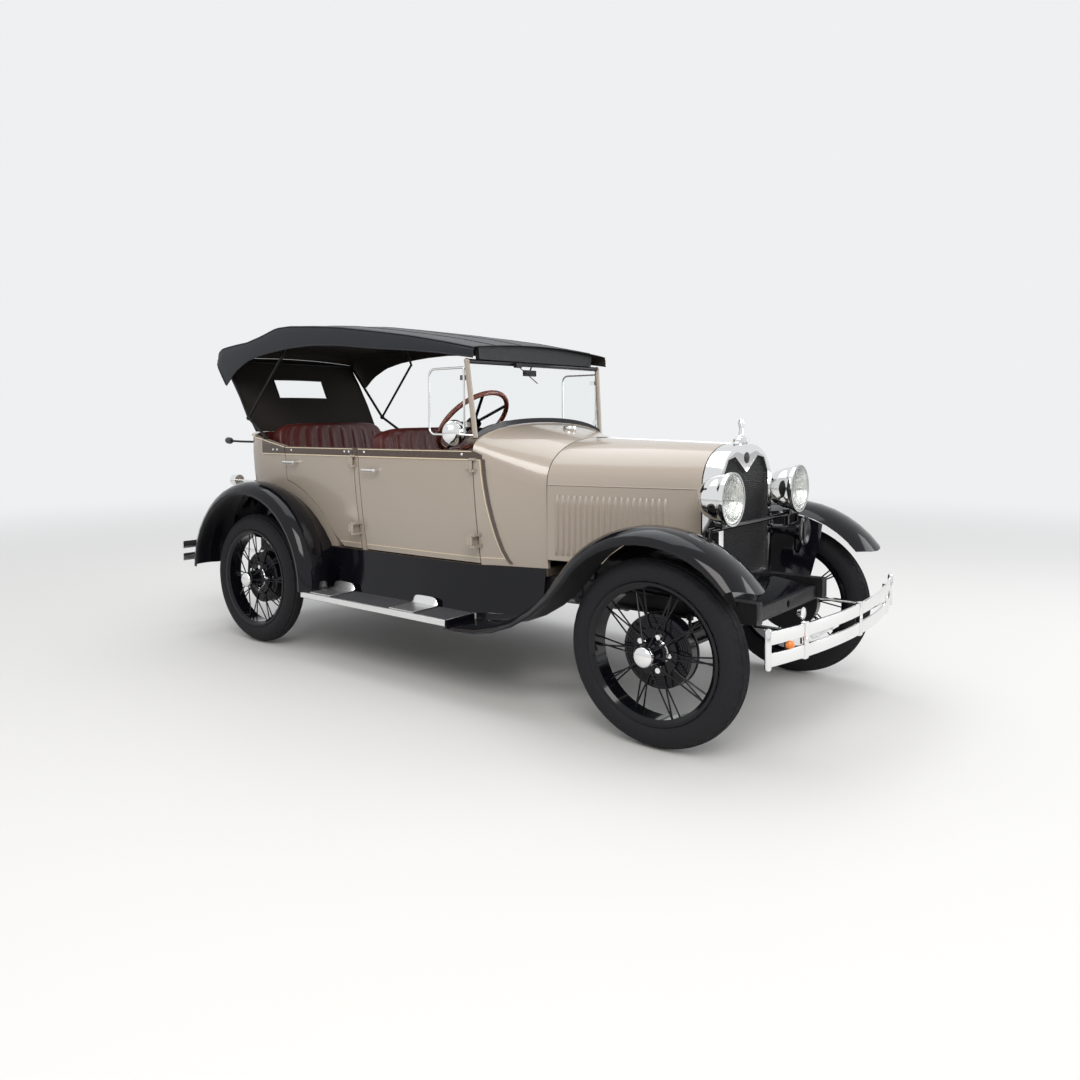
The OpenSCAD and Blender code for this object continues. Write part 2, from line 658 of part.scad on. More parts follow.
// Top: share of the cabin length, drop of the side and of its lower edge, rise at the centre, width change
top_table = [[-0.001, 225, 278, 28, -6], [0.106, 181, 246, 30, 0], [0.219, 140, 220, 30, 0],
    [0.351, 100, 196, 30, 0],
    [0.502, 58, 161, 28, 0], [0.631, 33, 145, 26, 0], [0.733, 18, 150, 18, 0], [0.798, 20, 159, 20, 0],
    [0.876, 57, 175, 24, 0], [0.951, 85, 205, 26, 0], [1.018, 93, 265, 26, -2], [1.071, 102, 350, 24, -4],
    [1.097, 109, 287, 24, -6], [1.118, 129, 238, 24, -10], [1.13, 171, 203, 24, -16]];
function top_x(r) = mix(door_front_x, tail_x, r[0]);
function top_row(r) = let (x = top_x(r), w = top_width / 2 + r[4], side = top_height - r[1],
    low = top_height - r[2])
    both(concat([[x, -w, low], [x, -w - 1, mix(low, side, 0.5)], [x, -w + 3, side - 14],
        [x, -w + 14, side]],
        [for (t = [0.85, 0.7, 0.5, 0.3, 0.15, 0]) [x, -w * t, side + r[3] * (1 - t * t)]]));
function top_grid() = [for (r = top_table) top_row(r)];

module top() {
    color("black") place() skin(top_grid(), offset_grid(top_grid(), 8));
}

// Back curtain: share of its height, distance ahead of its upper edge, narrowing
top_end = top_table[len(top_table) - 1];
curtain_x = top_x(top_end);
curtain_run = tail_x - curtain_x + 6;
curtain_table = [[0, 0, 0], [0.3, 0.34, 6], [0.65, 0.68, 16], [1, 1, 36]];
function curtain_row(r, t) = let (w = top_width / 2 + top_end[4] - r[2])
    both([for (u = [0.95, 0.85, 0.7, 0.5, 0.3, 0.15, 0])
        let (z = top_height - top_end[1] + top_end[3] * (1 - u * u) - 4.1)
        [curtain_x + r[1] * curtain_run + t + r[0] * 80 * pow(u, 6), -w * u,
            mix(z, rear_top + seat_gap, r[0])]]);

module back_curtain() {
    color("black") place()
        difference() {
            skin([for (r = curtain_table) curtain_row(r, 0)], [for (r = curtain_table) curtain_row(r, 6)]);
            translate([curtain_x - 200, -210, top_height - 425]) cube([600, 420, 130]);
        }
}

module top_irons() {
    color("black") place() {
        foot = [tail_x + 271, -(body_half - 30), quarter_top(tail_x + 271) + 12 + seat_gap];
        joint = [tail_x + 71, 24 - top_width / 2, rear_top + 88];
        back = [curtain_x + 39, 62 - top_width / 2, top_height - 184];
        bow = [top_x(top_table[7]), 42 - top_width / 2, top_height - 193];
        right_and_left() {
            translate(foot - [0, 0, 9]) cylinder(h = 16, r = 14);
            rod(foot, joint, 9);
            rod(joint, back, 9);
            rod(joint, bow, 8);
            rod(bow - [0, 0, 10], bow + [0, 55, 135], 8);
            translate(joint) sphere(r = 16);
        }
        translate([back[0], 56 - top_width / 2, back[2]]) rotate([-90, 0, 0])
            cylinder(h = top_width - 112, r = 10);
        top_bow(4, 18, 26, 9.8);
        top_bow(7, 22, 30, 10.9);
        translate([header_x - 12, 0, 0]) rotate([90, 0, 90]) linear_extrude(height = 24)
            polygon(concat(bow_edge(header_row, 9), [[top_width / 2 - 102, header_top + seat_gap],
                [102 - top_width / 2, header_top + seat_gap]]));
    }
}

header_top = screen_top + 12;
header_x = screen_at(screen_top);
header_row = mix(top_table[0], top_table[1],
    (header_x + 12 - top_x(top_table[0])) / (top_x(top_table[1]) - top_x(top_table[0])));
// Underside of the top across the car, lowered by d
function bow_edge(r, d) = let (w = top_width / 2 + r[4])
    [for (t = [-0.85, -0.7, -0.5, -0.3, -0.15, 0, 0.15, 0.3, 0.5, 0.7, 0.85])
        [w * t, top_height - r[1] + r[3] * (1 - t * t) - d]];

module top_bow(i, thick, depth, drop) {
    up = bow_edge(top_table[i], drop);
    low = bow_edge(top_table[i], drop + depth);
    translate([top_x(top_table[i]) - thick / 2, 0, 0]) rotate([90, 0, 90]) linear_extrude(height = thick)
        polygon(concat(up, [for (j = [len(low) - 1:-1:0]) low[j]]));
}

module front_fenders() {
    color("black") place() {
        g = [for (s = concat(span(0, 1, 14), span(1.1667, 2, 5), [3])) fender_row(s)];
        right_and_left() skin(g, offset_grid(g, 3.5));
    }
}

// Inner edge of the front fender at a distance from the front axle
function fender_edge_z(x) = wheel_z + sqrt(pow(arc_front - 16, 2) - x * x);

// Middle and lower edge of the panel between fender and frame
apron_mid_y = fender_in - 46;
apron_low_y = rail_out + seat_gap;
function apron_mid_z(x) = mix(fender_edge_z(x), frame_top + 20, 0.5);

module fender_aprons() {
    color("black") place() {
        g = [for (x = span(200, -370, 8))
            [[x, -fender_in - 1.2, fender_edge_z(x) - 5.8], [x, -apron_mid_y, apron_mid_z(x)],
                [x, -apron_low_y, frame_top - 20]]];
        right_and_left() skin(g, offset_grid(g, 3.5));
    }
}

module rear_fenders() {
    color("black") place() {
        g = [for (a = span(rear_foot, 177, 20)) rear_row(a)];
        right_and_left() skin(g, offset_grid(g, 3.5));
    }
}

module running_boards() {
    color("dimgray") place()
        right_and_left()
            translate([board_back_x, -board_outer, board_top - 28])
                cube([board_front_x - board_back_x, board_outer - board_inner, 28]);
}

function apron_row(x, t) = let (h = floor_half(x) + 0.3 + t, front = x > door_front_x + 1)
    let (z = front ? max(board_top, fender_side_z(x)) : board_top + seat_gap,
        y = front ? min(fender_in - 6, h + 40) : board_inner)
    [[x, -y - t, z], [x, -mix(y + t, h, 0.6), mix(z, floor_top - 4, 0.5)], [x, -h, floor_top - 3]];
function fender_side_z(x) = x < sweep_x ? board_top : sweep_z - sqrt(pow(arc_sweep, 2) - pow(x - sweep_x,
    2)) + 12;

module splash_aprons() {
    xs = concat([rear_axle + rear_clear - 4, pillar_x, door_front_x - 400, door_front_x],
        span(cowl_kink, cowl_x - 9, 5));
    color("black") place()
        right_and_left()
            skin([for (x = xs) apron_row(x, 0)], [for (x = xs) apron_row(x, 3.5)]);
}

lamp_x = 166;
lamp_y = fender_in - 200;
lamp_z = hood_line - 28;

module headlamps() {
    color("silver") place()
        for (s = [-1, 1])
            translate([lamp_x, s * lamp_y, lamp_z]) rotate([0, -90, 0])
            rotate_extrude()
            polygon([[0, 24], [100, 12], [104, 0], [112, 0], [114, 10], [110, 22], [104, 30], [96, 70],
                [80, 110], [54, 142], [24, 160], [0, 164]]);
}

module lamp_lenses() {
    color("white") place()
        for (s = [-1, 1])
            translate([lamp_x, s * lamp_y, lamp_z]) rotate([0, -90, 0])
            rotate_extrude()
            polygon([[0, -12], [60, -8], [103, -0.5], [103, 1], [99, 11], [0, 22]]);
}

module lamp_bar() {
    color("silver") place() {
        y = fender_in - 86;
        z = lamp_z - 115 - 11;
        x = lamp_x - 60;
        foot = mix(frame_top - 20, apron_mid_z(x),
            (y + 10 - apron_low_y) / (apron_mid_y - apron_low_y)) - 1.1;
        translate([x, -y, z]) rotate([-90, 0, 0]) cylinder(h = 2 * y, r = 10);
        for (s = [-1, 1]) {
            translate([x, s * y, foot]) cylinder(h = z - foot, r = 10);
            translate([x, s * y, z]) sphere(r = 12);
            translate([x - 16, s * lamp_y - 16, z]) cube([32, 32, 24.5]);
        }
        translate([x + 90, lamp_y - 11, z - 72]) rotate([0, -90, 0])
            rotate_extrude()
            polygon([[0, 8], [40, 8], [66, 0], [70, 2], [46, 30], [24, 80], [20, 150], [40, 160],
                [40, 210], [0, 214]]);
        translate([x - 12, lamp_y - 23, z - 60]) cube([24, 24, 60]);
    }
}

bumper_radius = 3130;
bumper_bottom = frame_bottom - 61;

module front_bumper() {
    color("silver") place() {
        for (z = [0, 80])
            translate([front_reach - 2 - bumper_radius, 0, bumper_bottom + z]) rotate([0, 0, -13.6])
            rotate_extrude(angle = 27.2, $fn = 360)
            translate([bumper_radius - 10, 0]) square([10, 48]);
        for (y = [-500, 0, 500])
            translate([front_reach - 2 - bumper_radius + sqrt(bumper_radius * bumper_radius - y * y) - 16,
                y - 16, bumper_bottom - 6]) cube([18, 32, 140]);
        for (s = [-1, 1])
            translate([260, s * (rail_out - 28) - 14, bumper_bottom + 51])
            cube([front_reach - 2 - 260 - 40, 28, frame_bottom - bumper_bottom - 51 - seat_gap]);
        for (s = [-1, 1])
            translate([front_reach - 60, s * 330 - 190, bumper_bottom + 51]) cube([16, 380, 26]);
    }
}

module rear_bumpers() {
    color("silver") place()
        right_and_left() {
            for (z = [0, 80])
                translate([rear_axle - rear_reach, -half_track - 49, bumper_bottom + z])
                    cube([10, 330, 48]);
            translate([rear_axle - rear_reach + 8, 71 - half_track, bumper_bottom - 6]) cube([12, 40, 140]);
            translate([rear_axle - rear_reach + 8, 241 - half_track, bumper_bottom - 6])
                cube([12, 40, 140]);
            translate([rear_axle - rear_reach + 18, 71 - half_track, bumper_bottom + 50])
                cube([14, half_track - rail_out - 11, 28]);
            translate([rear_axle - rear_reach + 18, -rail_out + 10, bumper_bottom + 32])
                cube([rear_reach - 361, 34, frame_bottom - bumper_bottom - 32 - seat_gap]);
        }
}

module tail_lamps() {
    color("silver") place()
        for (s = [-1, 1])
            translate([tail_x + 72.9, s * (body_half - 90), belt_height - 229]) rotate([0, -90, 0]) {
                cylinder(h = 177, r = 8);
                translate([0, 0, 172]) cylinder(h = 55, r = 36);
            }
}

module steering_column() {
    color("black") place() {
        rod(column_foot + 30 * column_dir, column_head - 60 * column_dir, 19);
        translate([-620, 5 - rail_out, frame_top + seat_gap]) cube([130, 62, 68]);
        translate([-560, -rail_out - 10, frame_top + 35]) rotate([-90, 0, 0]) cylinder(h = 30, r = 10);
        rod(column_head - 80 * column_dir, column_head - 1 * column_dir, 9);
    }
}

module steering_wheel() {
    color("saddlebrown") place()
        translate(column_head)
        rotate([0, acos(column_dir[2]), atan2(column_dir[1], column_dir[0])]) {
            rotate_extrude($fn = 96)
                translate([steering_wheel_diameter / 2 - 13, 0]) circle(r = 13, $fn = 32);
            for (i = [0:4])
                rotate([0, 0, i * 72 + 18])
                rod([20, 0, -8], [steering_wheel_diameter / 2 - 14, 0, 0], 8);
            difference() {
                translate([0, 0, -30]) cylinder(h = 44, r = 34);
                translate([0, 0, -31]) cylinder(h = 36, r = 9.4);
            }
        }
}

module spare_wheel() {
    color("black") place()
        translate([rear_axle - 500, 0, spare_z]) rotate([0, -90, 0]) wheel_shape(false);
}

module spare_tyre() {
    color("dimgray") place()
        translate([rear_axle - 500, 0, spare_z]) rotate([0, -90, 0]) tyre_shape();
}

hinge_rod = 5;

function hood_row(x) = [for (a = span(0, 90, 9))
    let (q = arch(x, hood_half(x), hood_line, hood_crown(x), a)) [q[0], min(q[1], -hinge_rod - 0.4), q[2]]];

module hood_top() {
    g = [for (x = [hood_front_x, (hood_front_x + hood_back_x) / 2, hood_back_x]) hood_row(x)];
    skin(g, inset_grid(g, 4));
    rod([hood_front_x, -hood_half(hood_front_x) + 1, hood_line - 1],
        [hood_back_x, -hood_half(hood_back_x) + 1, hood_line - 1], 2.9);
}

module hood_side() {
    function row(x, t) = [[x, -hood_half(x) + t - 1, frame_top + 85],
        [x, -hood_half(x) + t - 1, hood_line - 4.5]];
    skin([row(hood_front_x, 0), row(hood_back_x, 0)], [row(hood_front_x, 4), row(hood_back_x, 4)]);
    lean = atan((hood_rear - hood_front) / 2 / hood_length);
    for (i = [0:louvres - 1])
        let (x = mix(-170, -665, i / (louvres - 1)))
        translate([x, -hood_half(x), frame_top + 105]) rotate([0, 0, lean])
        translate([-7, -5, 0]) cube([10, 8, hood_line - frame_top - 153]);
}

module hood_top_right() {
    color("tan") place() hood_top();
}

module hood_top_left() {
    color("tan") place() mirror([0, 1, 0]) hood_top();
}

module hood_side_right() {
    color("tan") place() hood_side();
}

module hood_side_left() {
    color("tan") place() mirror([0, 1, 0]) hood_side();
}

module knuckle() {
    difference() {
        union() {
            translate([0, -kingpin_y, wheel_z - 52]) cylinder(h = 104, r = 10);
            for (z = [-52, 34])
                translate([0, -kingpin_y, wheel_z + z]) cylinder(h = 18, r = 22);
            for (z = [-52, 34])
                translate([-18, -half_track + 65, wheel_z + z]) cube([36, kingpin_inset - 65, 18]);
            translate([-18, -half_track + 65, wheel_z - 52]) cube([36, 14, 104]);
            translate([0, -half_track + 71, wheel_z]) rotate([90, 0, 0])
                cylinder(h = 8, r = drum_radius + 3);
            translate([0, -half_track + 71, wheel_z]) rotate([90, 0, 0]) cylinder(h = 71 + 50, r = 18);
            translate([-steer_arm, -kingpin_y - 12, wheel_z - 52]) cube([steer_arm, 24, 14]);
            translate([-steer_arm, -kingpin_y, wheel_z - 52]) cylinder(h = 14, r = 14);
            translate([-steer_arm, -kingpin_y, wheel_z - 52]) cylinder(h = 44, r = 7);
        }
    }
}

link_arm = kingpin_y - rail_out - 20;
link_z = wheel_z + 89;
link_length = 560;

module knuckle_right() {
    color("black") place() {
        knuckle();
        translate([-12, -kingpin_y, wheel_z + 38]) cube([24, link_arm, 14]);
        translate([0, -kingpin_y + link_arm, wheel_z + 38]) cylinder(h = 14, r = 14);
        translate([0, -kingpin_y + link_arm, wheel_z + 38]) cylinder(h = link_z - wheel_z - 38 + 16, r = 7);
    }
}

module knuckle_left() {
    color("black") place() mirror([0, 1, 0]) knuckle();
}

module tie_rod() {
    color("black") place()
        difference() {
            union() {
                translate([-steer_arm, -kingpin_y, wheel_z - 22]) rotate([-90, 0, 0])
                    cylinder(h = 2 * kingpin_y, r = 8);
                for (s = [-1, 1])
                    translate([-steer_arm, s * kingpin_y, wheel_z - 32]) cylinder(h = 20, r = 15);
            }
            for (s = [-1, 1])
                translate([-steer_arm, s * kingpin_y, wheel_z - 60]) cylinder(h = 80, r = 7.3);
        }
}

module drag_link() {
    color("black") place()
        difference() {
            union() {
                translate([-link_length, -kingpin_y + link_arm, link_z]) rotate([0, 90, 0])
                    cylinder(h = link_length, r = 8);
                translate([0, -kingpin_y + link_arm, link_z - 10]) cylinder(h = 20, r = 15);
                translate([-link_length, -kingpin_y + link_arm - 8, link_z]) rotate([-90, 0, 0])
                    cylinder(h = 16, r = 15);
            }
            translate([0, -kingpin_y + link_arm, link_z - 40]) cylinder(h = 80, r = 7.3);
        }
}

module pitman_arm() {
    color("black") place()
        difference() {
            union() {
                translate([-560, -rail_out - 1, frame_top + 35]) rotate([90, 0, 0]) cylinder(h = 6, r = 24);
                translate([-572, -rail_out - 7, link_z]) cube([24, 6, frame_top + 35 - link_z]);
                translate([-560, -rail_out - 1, link_z]) rotate([90, 0, 0]) cylinder(h = 6, r = 14);
            }
            translate([-560, -rail_out + 20, frame_top + 35]) rotate([90, 0, 0]) cylinder(h = 80, r = 10.2);
        }
}

module wheel_front_right() {
    color("black") place() at_wheel(0, -1, wheel_z) wheel_shape();
}

module wheel_front_left() {
    color("black") place() at_wheel(0, 1, wheel_z) wheel_shape();
}

module wheel_rear_right() {
    color("black") place() at_wheel(rear_axle, -1, wheel_z) wheel_shape();
}

module wheel_rear_left() {
    color("black") place() at_wheel(rear_axle, 1, wheel_z) wheel_shape();
}

module tyre_front_right() {
    color("dimgray") place() at_wheel(0, -1, wheel_z) tyre_shape();
}

module tyre_front_left() {
    color("dimgray") place() at_wheel(0, 1, wheel_z) tyre_shape();
}

module tyre_rear_right() {
    color("dimgray") place() at_wheel(rear_axle, -1, wheel_z) tyre_shape();
}

module tyre_rear_left() {
    color("dimgray") place() at_wheel(rear_axle, 1, wheel_z) tyre_shape();
}

frame();
front_axle();
springs();
rear_axle();
engine();
exhaust();
radiator_core();
radiator_shell();
radiator_cap();
cowl();
firewall();
floor();
rear_body();
hinge_posts();
seats();
windscreen_frame();
windscreen_glass();
top();
back_curtain();
top_irons();
front_fenders();
fender_aprons();
rear_fenders();
running_boards();
splash_aprons();
headlamps();
lamp_lenses();
lamp_bar();
front_bumper();
rear_bumpers();
tail_lamps();
steering_column();
spare_wheel();
spare_tyre();
hood_top_right();
hood_top_left();
hood_side_right();
hood_side_left();
front_door_right();
front_door_left();
rear_door_right();
rear_door_left();
knuckle_right();
knuckle_left();
tie_rod();
drag_link();
pitman_arm();
steering_wheel();
wheel_front_right();
wheel_front_left();
wheel_rear_right();
wheel_rear_left();
tyre_front_right();
tyre_front_left();
tyre_rear_right();
tyre_rear_left();
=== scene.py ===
import math
import bpy
from mathutils import Matrix, Vector

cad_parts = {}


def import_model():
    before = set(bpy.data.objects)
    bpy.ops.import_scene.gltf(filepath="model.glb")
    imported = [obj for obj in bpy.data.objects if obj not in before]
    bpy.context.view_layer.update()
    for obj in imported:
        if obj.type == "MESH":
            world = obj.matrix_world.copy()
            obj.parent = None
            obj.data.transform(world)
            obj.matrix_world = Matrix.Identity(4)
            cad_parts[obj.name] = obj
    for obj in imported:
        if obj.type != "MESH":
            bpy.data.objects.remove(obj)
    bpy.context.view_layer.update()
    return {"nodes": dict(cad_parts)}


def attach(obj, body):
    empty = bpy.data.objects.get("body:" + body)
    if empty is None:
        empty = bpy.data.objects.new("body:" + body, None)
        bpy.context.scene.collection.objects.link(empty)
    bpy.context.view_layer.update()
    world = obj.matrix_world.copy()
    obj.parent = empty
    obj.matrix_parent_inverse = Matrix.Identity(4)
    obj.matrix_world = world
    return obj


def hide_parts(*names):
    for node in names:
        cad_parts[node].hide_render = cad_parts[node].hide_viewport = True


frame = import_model()
nodes = frame["nodes"]

# Sizes in millimetres, x counted from the front axle, as in the part's source
AXLE_X = 1426.5
REAR = -2629.0
WHEEL_Z = 381.0
HALF_TRACK = 711.0
SILL = 606.0
BELT = 1165.0
TUCK = 60.0
FLOOR_TOP = 600.0
COWL_X = -726.0
DOOR_X = -1046.0
FRONT_DOOR_REAR_X = -1837
PILLAR_X = -1844.0
REAR_DOOR_X = -1882.0
DOOR_REAR_X = REAR + 149
QUARTER_X = DOOR_REAR_X - 6
TAIL_X = REAR - 348
REAR_TOP = 1249.0
HOOD_FRONT_X = -20.0
HOOD_BACK_X = -720.0
HOOD_LINE = 1003.0


def mix(a, b, t):
    return a + (b - a) * t


def span(a, b, n):
    return [mix(a, b, i / n) for i in range(n + 1)]


def lookup(x, table):
    table = sorted(table)
    if x <= table[0][0]:
        return table[0][1]
    for (x0, v0), (x1, v1) in zip(table, table[1:]):
        if x <= x1:
            return mix(v0, v1, (x - x0) / (x1 - x0))
    return table[-1][1]


BELT_HALF = [(TAIL_X, 603), (REAR, 620), (DOOR_REAR_X, 624), (PILLAR_X, 628), (DOOR_X - 400, 620),
             (DOOR_X, 600), (COWL_X, 440)]


def belt_half(x):
    return lookup(x, BELT_HALF)


def tuck(z):
    return TUCK * (max(0.0, BELT - z) / (BELT - SILL)) ** 1.6


def side_y(x, z):
    return belt_half(x) - tuck(z)


def cowl_t(x):
    return (x - COWL_X) / (DOOR_X - COWL_X)


def cowl_line(x):
    return mix(HOOD_LINE, BELT, cowl_t(x))


def cowl_crown(x):
    return mix(1220, 1294, cowl_t(x))


def cowl_y(x, z):
    return belt_half(x) - tuck(z) * min(1, cowl_t(x) + 0.2)


def world(p):
    return Vector(((p[0] + AXLE_X) / 1000, p[1] / 1000, p[2] / 1000))


# Materials
def principled(name):
    m = bpy.data.materials.new(name)
    m.use_nodes = True
    return m, m.node_tree, m.node_tree.nodes["Principled BSDF"]


def noise_bump(tree, shader, scale, strength, distance):
    coords = tree.nodes.new("ShaderNodeTexCoord")
    noise = tree.nodes.new("ShaderNodeTexNoise")
    noise.inputs["Scale"].default_value = scale
    noise.inputs["Detail"].default_value = 3.0
    bump = tree.nodes.new("ShaderNodeBump")
    bump.inputs["Strength"].default_value = strength
    bump.inputs["Distance"].default_value = distance
    tree.links.new(coords.outputs["Object"], noise.inputs["Vector"])
    tree.links.new(noise.outputs["Fac"], bump.inputs["Height"])
    tree.links.new(bump.outputs["Normal"], shader.inputs["Normal"])
    return noise


def vary(tree, noise, socket, low, high):
    ramp = tree.nodes.new("ShaderNodeMapRange")
    ramp.inputs["From Min"].default_value = 0.3
    ramp.inputs["From Max"].default_value = 0.7
    ramp.inputs["To Min"].default_value = low
    ramp.inputs["To Max"].default_value = high
    tree.links.new(noise.outputs["Fac"], ramp.inputs["Value"])
    tree.links.new(ramp.outputs["Result"], socket)


def math_node(tree, operation, a, b):
    node = tree.nodes.new("ShaderNodeMath")
    node.operation = operation
    tree.links.new(a, node.inputs[0])
    tree.links.new(b, node.inputs[1])
    return node.outputs["Value"]


def finish_material(name, color, rough, metallic=0.0, coat=0.0, scale=60.0, bump=0.05, distance=0.0005,
                    spread=0.15, gloss=0.5):
    m, tree, shader = principled(name)
    shader.inputs["Base Color"].default_value = (*color, 1)
    shader.inputs["Metallic"].default_value = metallic
    shader.inputs["Specular IOR Level"].default_value = gloss
    shader.inputs["Coat Weight"].default_value = coat
    shader.inputs["Coat Roughness"].default_value = 0.04
    noise = noise_bump(tree, shader, scale, bump, distance)
    vary(tree, noise, shader.inputs["Roughness"], rough * (1 - spread), rough * (1 + spread))
    return m


BEIGE = finish_material("beige enamel", (0.36, 0.305, 0.25), 0.3, coat=0.7, scale=14, bump=0.01,
                        spread=0.05)
BROWN = finish_material("brown enamel", (0.055, 0.032, 0.022), 0.28, coat=0.8, scale=14, bump=0.02)
CREAM = finish_material("cream line", (0.72, 0.6, 0.42), 0.4, scale=40)
BLACK = finish_material("black enamel", (0.004, 0.004, 0.006), 0.1, coat=0.2, scale=10, bump=0.02,
                        gloss=0.2)
SATIN = finish_material("satin black", (0.008, 0.008, 0.009), 0.4, scale=80, bump=0.1, gloss=0.25)
CHROME = finish_material("chrome", (0.82, 0.82, 0.82), 0.07, metallic=1.0, scale=25, bump=0.01)
STEEL = finish_material("dull steel", (0.35, 0.34, 0.33), 0.4, metallic=1.0, scale=90, bump=0.1)
ALU = finish_material("aluminium", (0.8, 0.8, 0.8), 0.34, metallic=1.0, scale=120, bump=0.08)
GREEN = finish_material("engine enamel", (0.04, 0.075, 0.05), 0.5, scale=50, bump=0.2)
WOOD = finish_material("floor board", (0.06, 0.045, 0.03), 0.7, scale=30, bump=0.3)
TYRE = finish_material("tyre", (0.012, 0.012, 0.014), 0.7, scale=220, bump=0.25, distance=0.0008,
                       gloss=0.2)
RUBBER = finish_material("board rubber", (0.065, 0.066, 0.07), 0.7, scale=180, bump=0.2, gloss=0.3)
LEATHER = finish_material("maroon leather", (0.08, 0.014, 0.012), 0.42, coat=0.1, scale=330, bump=0.35,
                          distance=0.0008, gloss=0.3)
CLOTH = finish_material("black top cloth", (0.008, 0.009, 0.013), 0.45, scale=420, bump=0.35,
                        distance=0.0006, gloss=0.4)
LINING = finish_material("top lining", (0.03, 0.026, 0.023), 0.9, scale=300, bump=0.3, gloss=0.2)
WHEEL_RIM = finish_material("steering rim", (0.16, 0.035, 0.018), 0.25, coat=0.6, scale=60)
AMBER = finish_material("amber lens", (0.75, 0.2, 0.02), 0.12, coat=0.6, scale=120, bump=0.2)
RED = finish_material("red lens", (0.45, 0.012, 0.01), 0.12, coat=0.6, scale=120, bump=0.2)
MIRROR = finish_material("mirror", (0.9, 0.9, 0.9), 0.02, metallic=1.0, scale=20, bump=0.0)


def glass_material(name, tint, rough, fluted=0.0):
    m, tree, shader = principled(name)
    shader.inputs["Base Color"].default_value = (*tint, 1)
    shader.inputs["Transmission Weight"].default_value = 1.0
    shader.inputs["Roughness"].default_value = rough
    shader.inputs["IOR"].default_value = 1.45 if fluted else 1.02
    noise_bump(tree, shader, 40, 0.01, 0.0002)
    if fluted:
        coords = tree.nodes.new("ShaderNodeTexCoord")
        wave = tree.nodes.new("ShaderNodeTexWave")
        wave.bands_direction = "Y"
        wave.inputs["Scale"].default_value = fluted
        bump = tree.nodes.new("ShaderNodeBump")
        bump.inputs["Strength"].default_value = 0.5
        bump.inputs["Distance"].default_value = 0.003
        tree.links.new(coords.outputs["Object"], wave.inputs["Vector"])
        tree.links.new(wave.outputs["Fac"], bump.inputs["Height"])
        tree.links.new(bump.outputs["Normal"], shader.inputs["Normal"])
    return m


GLASS = glass_material("clear glass", (0.97, 0.985, 0.98), 0.0)
LENS = glass_material("lamp lens", (0.93, 0.94, 0.9), 0.08, fluted=26)


def core_material():
    m, tree, shader = principled("radiator core")
    shader.inputs["Base Color"].default_value = (0.006, 0.006, 0.007, 1)
    shader.inputs["Specular IOR Level"].default_value = 0.15
    shader.inputs["Roughness"].default_value = 0.5
    coords = tree.nodes.new("ShaderNodeTexCoord")
    cells = tree.nodes.new("ShaderNodeTexVoronoi")
    cells.inputs["Scale"].default_value = 110
    cells.inputs["Randomness"].default_value = 0.12
    bump = tree.nodes.new("ShaderNodeBump")
    bump.inputs["Strength"].default_value = 0.9
    bump.inputs["Distance"].default_value = 0.004
    tree.links.new(coords.outputs["Object"], cells.inputs["Vector"])
    tree.links.new(cells.outputs["Distance"], bump.inputs["Height"])
    tree.links.new(bump.outputs["Normal"], shader.inputs["Normal"])
    return m


CORE = core_material()


# Mesh helpers
def make(name, verts, faces, material, body, sharp=38.0, stands_for=()):
    """Adds a piece that rides on a body; sharp is the angle over which edges stay hard."""
    name = name.replace(" ", "_")
    mesh = bpy.data.meshes.new(name)
    mesh.from_pydata([tuple(v) for v in verts], [], faces)
    mesh.validate()
    mesh.materials.append(material)
    mesh.shade_smooth()
    mesh.set_sharp_from_angle(angle=math.radians(sharp))
    obj = bpy.data.objects.new(name, mesh)
    bpy.context.scene.collection.objects.link(obj)
    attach(obj, body)
    if stands_for:
        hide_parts(*stands_for)
    return obj


def normals(grid):
    rows, cols = len(grid), len(grid[0])
    out = []
    for i in range(rows):
        line = []
        for j in range(cols):
            u = grid[min(i + 1, rows - 1)][j] - grid[max(i - 1, 0)][j]
            v = grid[i][min(j + 1, cols - 1)] - grid[i][max(j - 1, 0)]
            line.append(u.cross(v).normalized())
        out.append(line)
    return out


def sheet_mesh(points, thick, side=-1, hole=None):
    """Closed sheet from a grid of points for the right side; side 1 mirrors it.

    The hole is left out between two rows and two columns, given as (row, row, column, column).
    """
    grid = [[world(p) for p in row] for row in points]
    n = normals(grid)
    t = thick / 1000
    inner = [[p + q * t for p, q in zip(row, row_normals)] for row, row_normals in zip(grid, n)]
    rows, cols = len(grid), len(grid[0])
    k = rows * cols
    verts = [p for row in grid for p in row] + [p for row in inner for p in row]
    faces = []
    for i in range(rows - 1):
        for j in range(cols - 1):
            a, b, c, d = i * cols + j, i * cols + j + 1, (i + 1) * cols + j + 1, (i + 1) * cols + j
            if hole and hole[0] <= i < hole[1] and hole[2] <= j < hole[3]:
                if i == hole[0]:
                    faces.append((a, b, k + b, k + a))
                if i == hole[1] - 1:
                    faces.append((c, d, k + d, k + c))
                if j == hole[2]:
                    faces.append((d, a, k + a, k + d))
                if j == hole[3] - 1:
                    faces.append((b, c, k + c, k + b))
                continue
            faces.append((a, b, c, d))
            faces.append((k + d, k + c, k + b, k + a))
    for i in range(rows - 1):
        a, d = i * cols, (i + 1) * cols
        faces.append((d, k + d, k + a, a))
        a, d = i * cols + cols - 1, (i + 1) * cols + cols - 1
        faces.append((a, k + a, k + d, d))
    for j in range(cols - 1):
        faces.append((j, k + j, k + j + 1, j + 1))
        a = (rows - 1) * cols + j
        faces.append((a + 1, k + a + 1, k + a, a))
    if side > 0:
        verts = [Vector((v.x, -v.y, v.z)) for v in verts]
        faces = [tuple(reversed(f)) for f in faces]
    return verts, faces


def sheet_piece(name, points, thick, material, body, side=-1, stands_for=()):
    verts, faces = sheet_mesh(points, thick, side)
    return make(name, verts, faces, material, body, stands_for=stands_for)


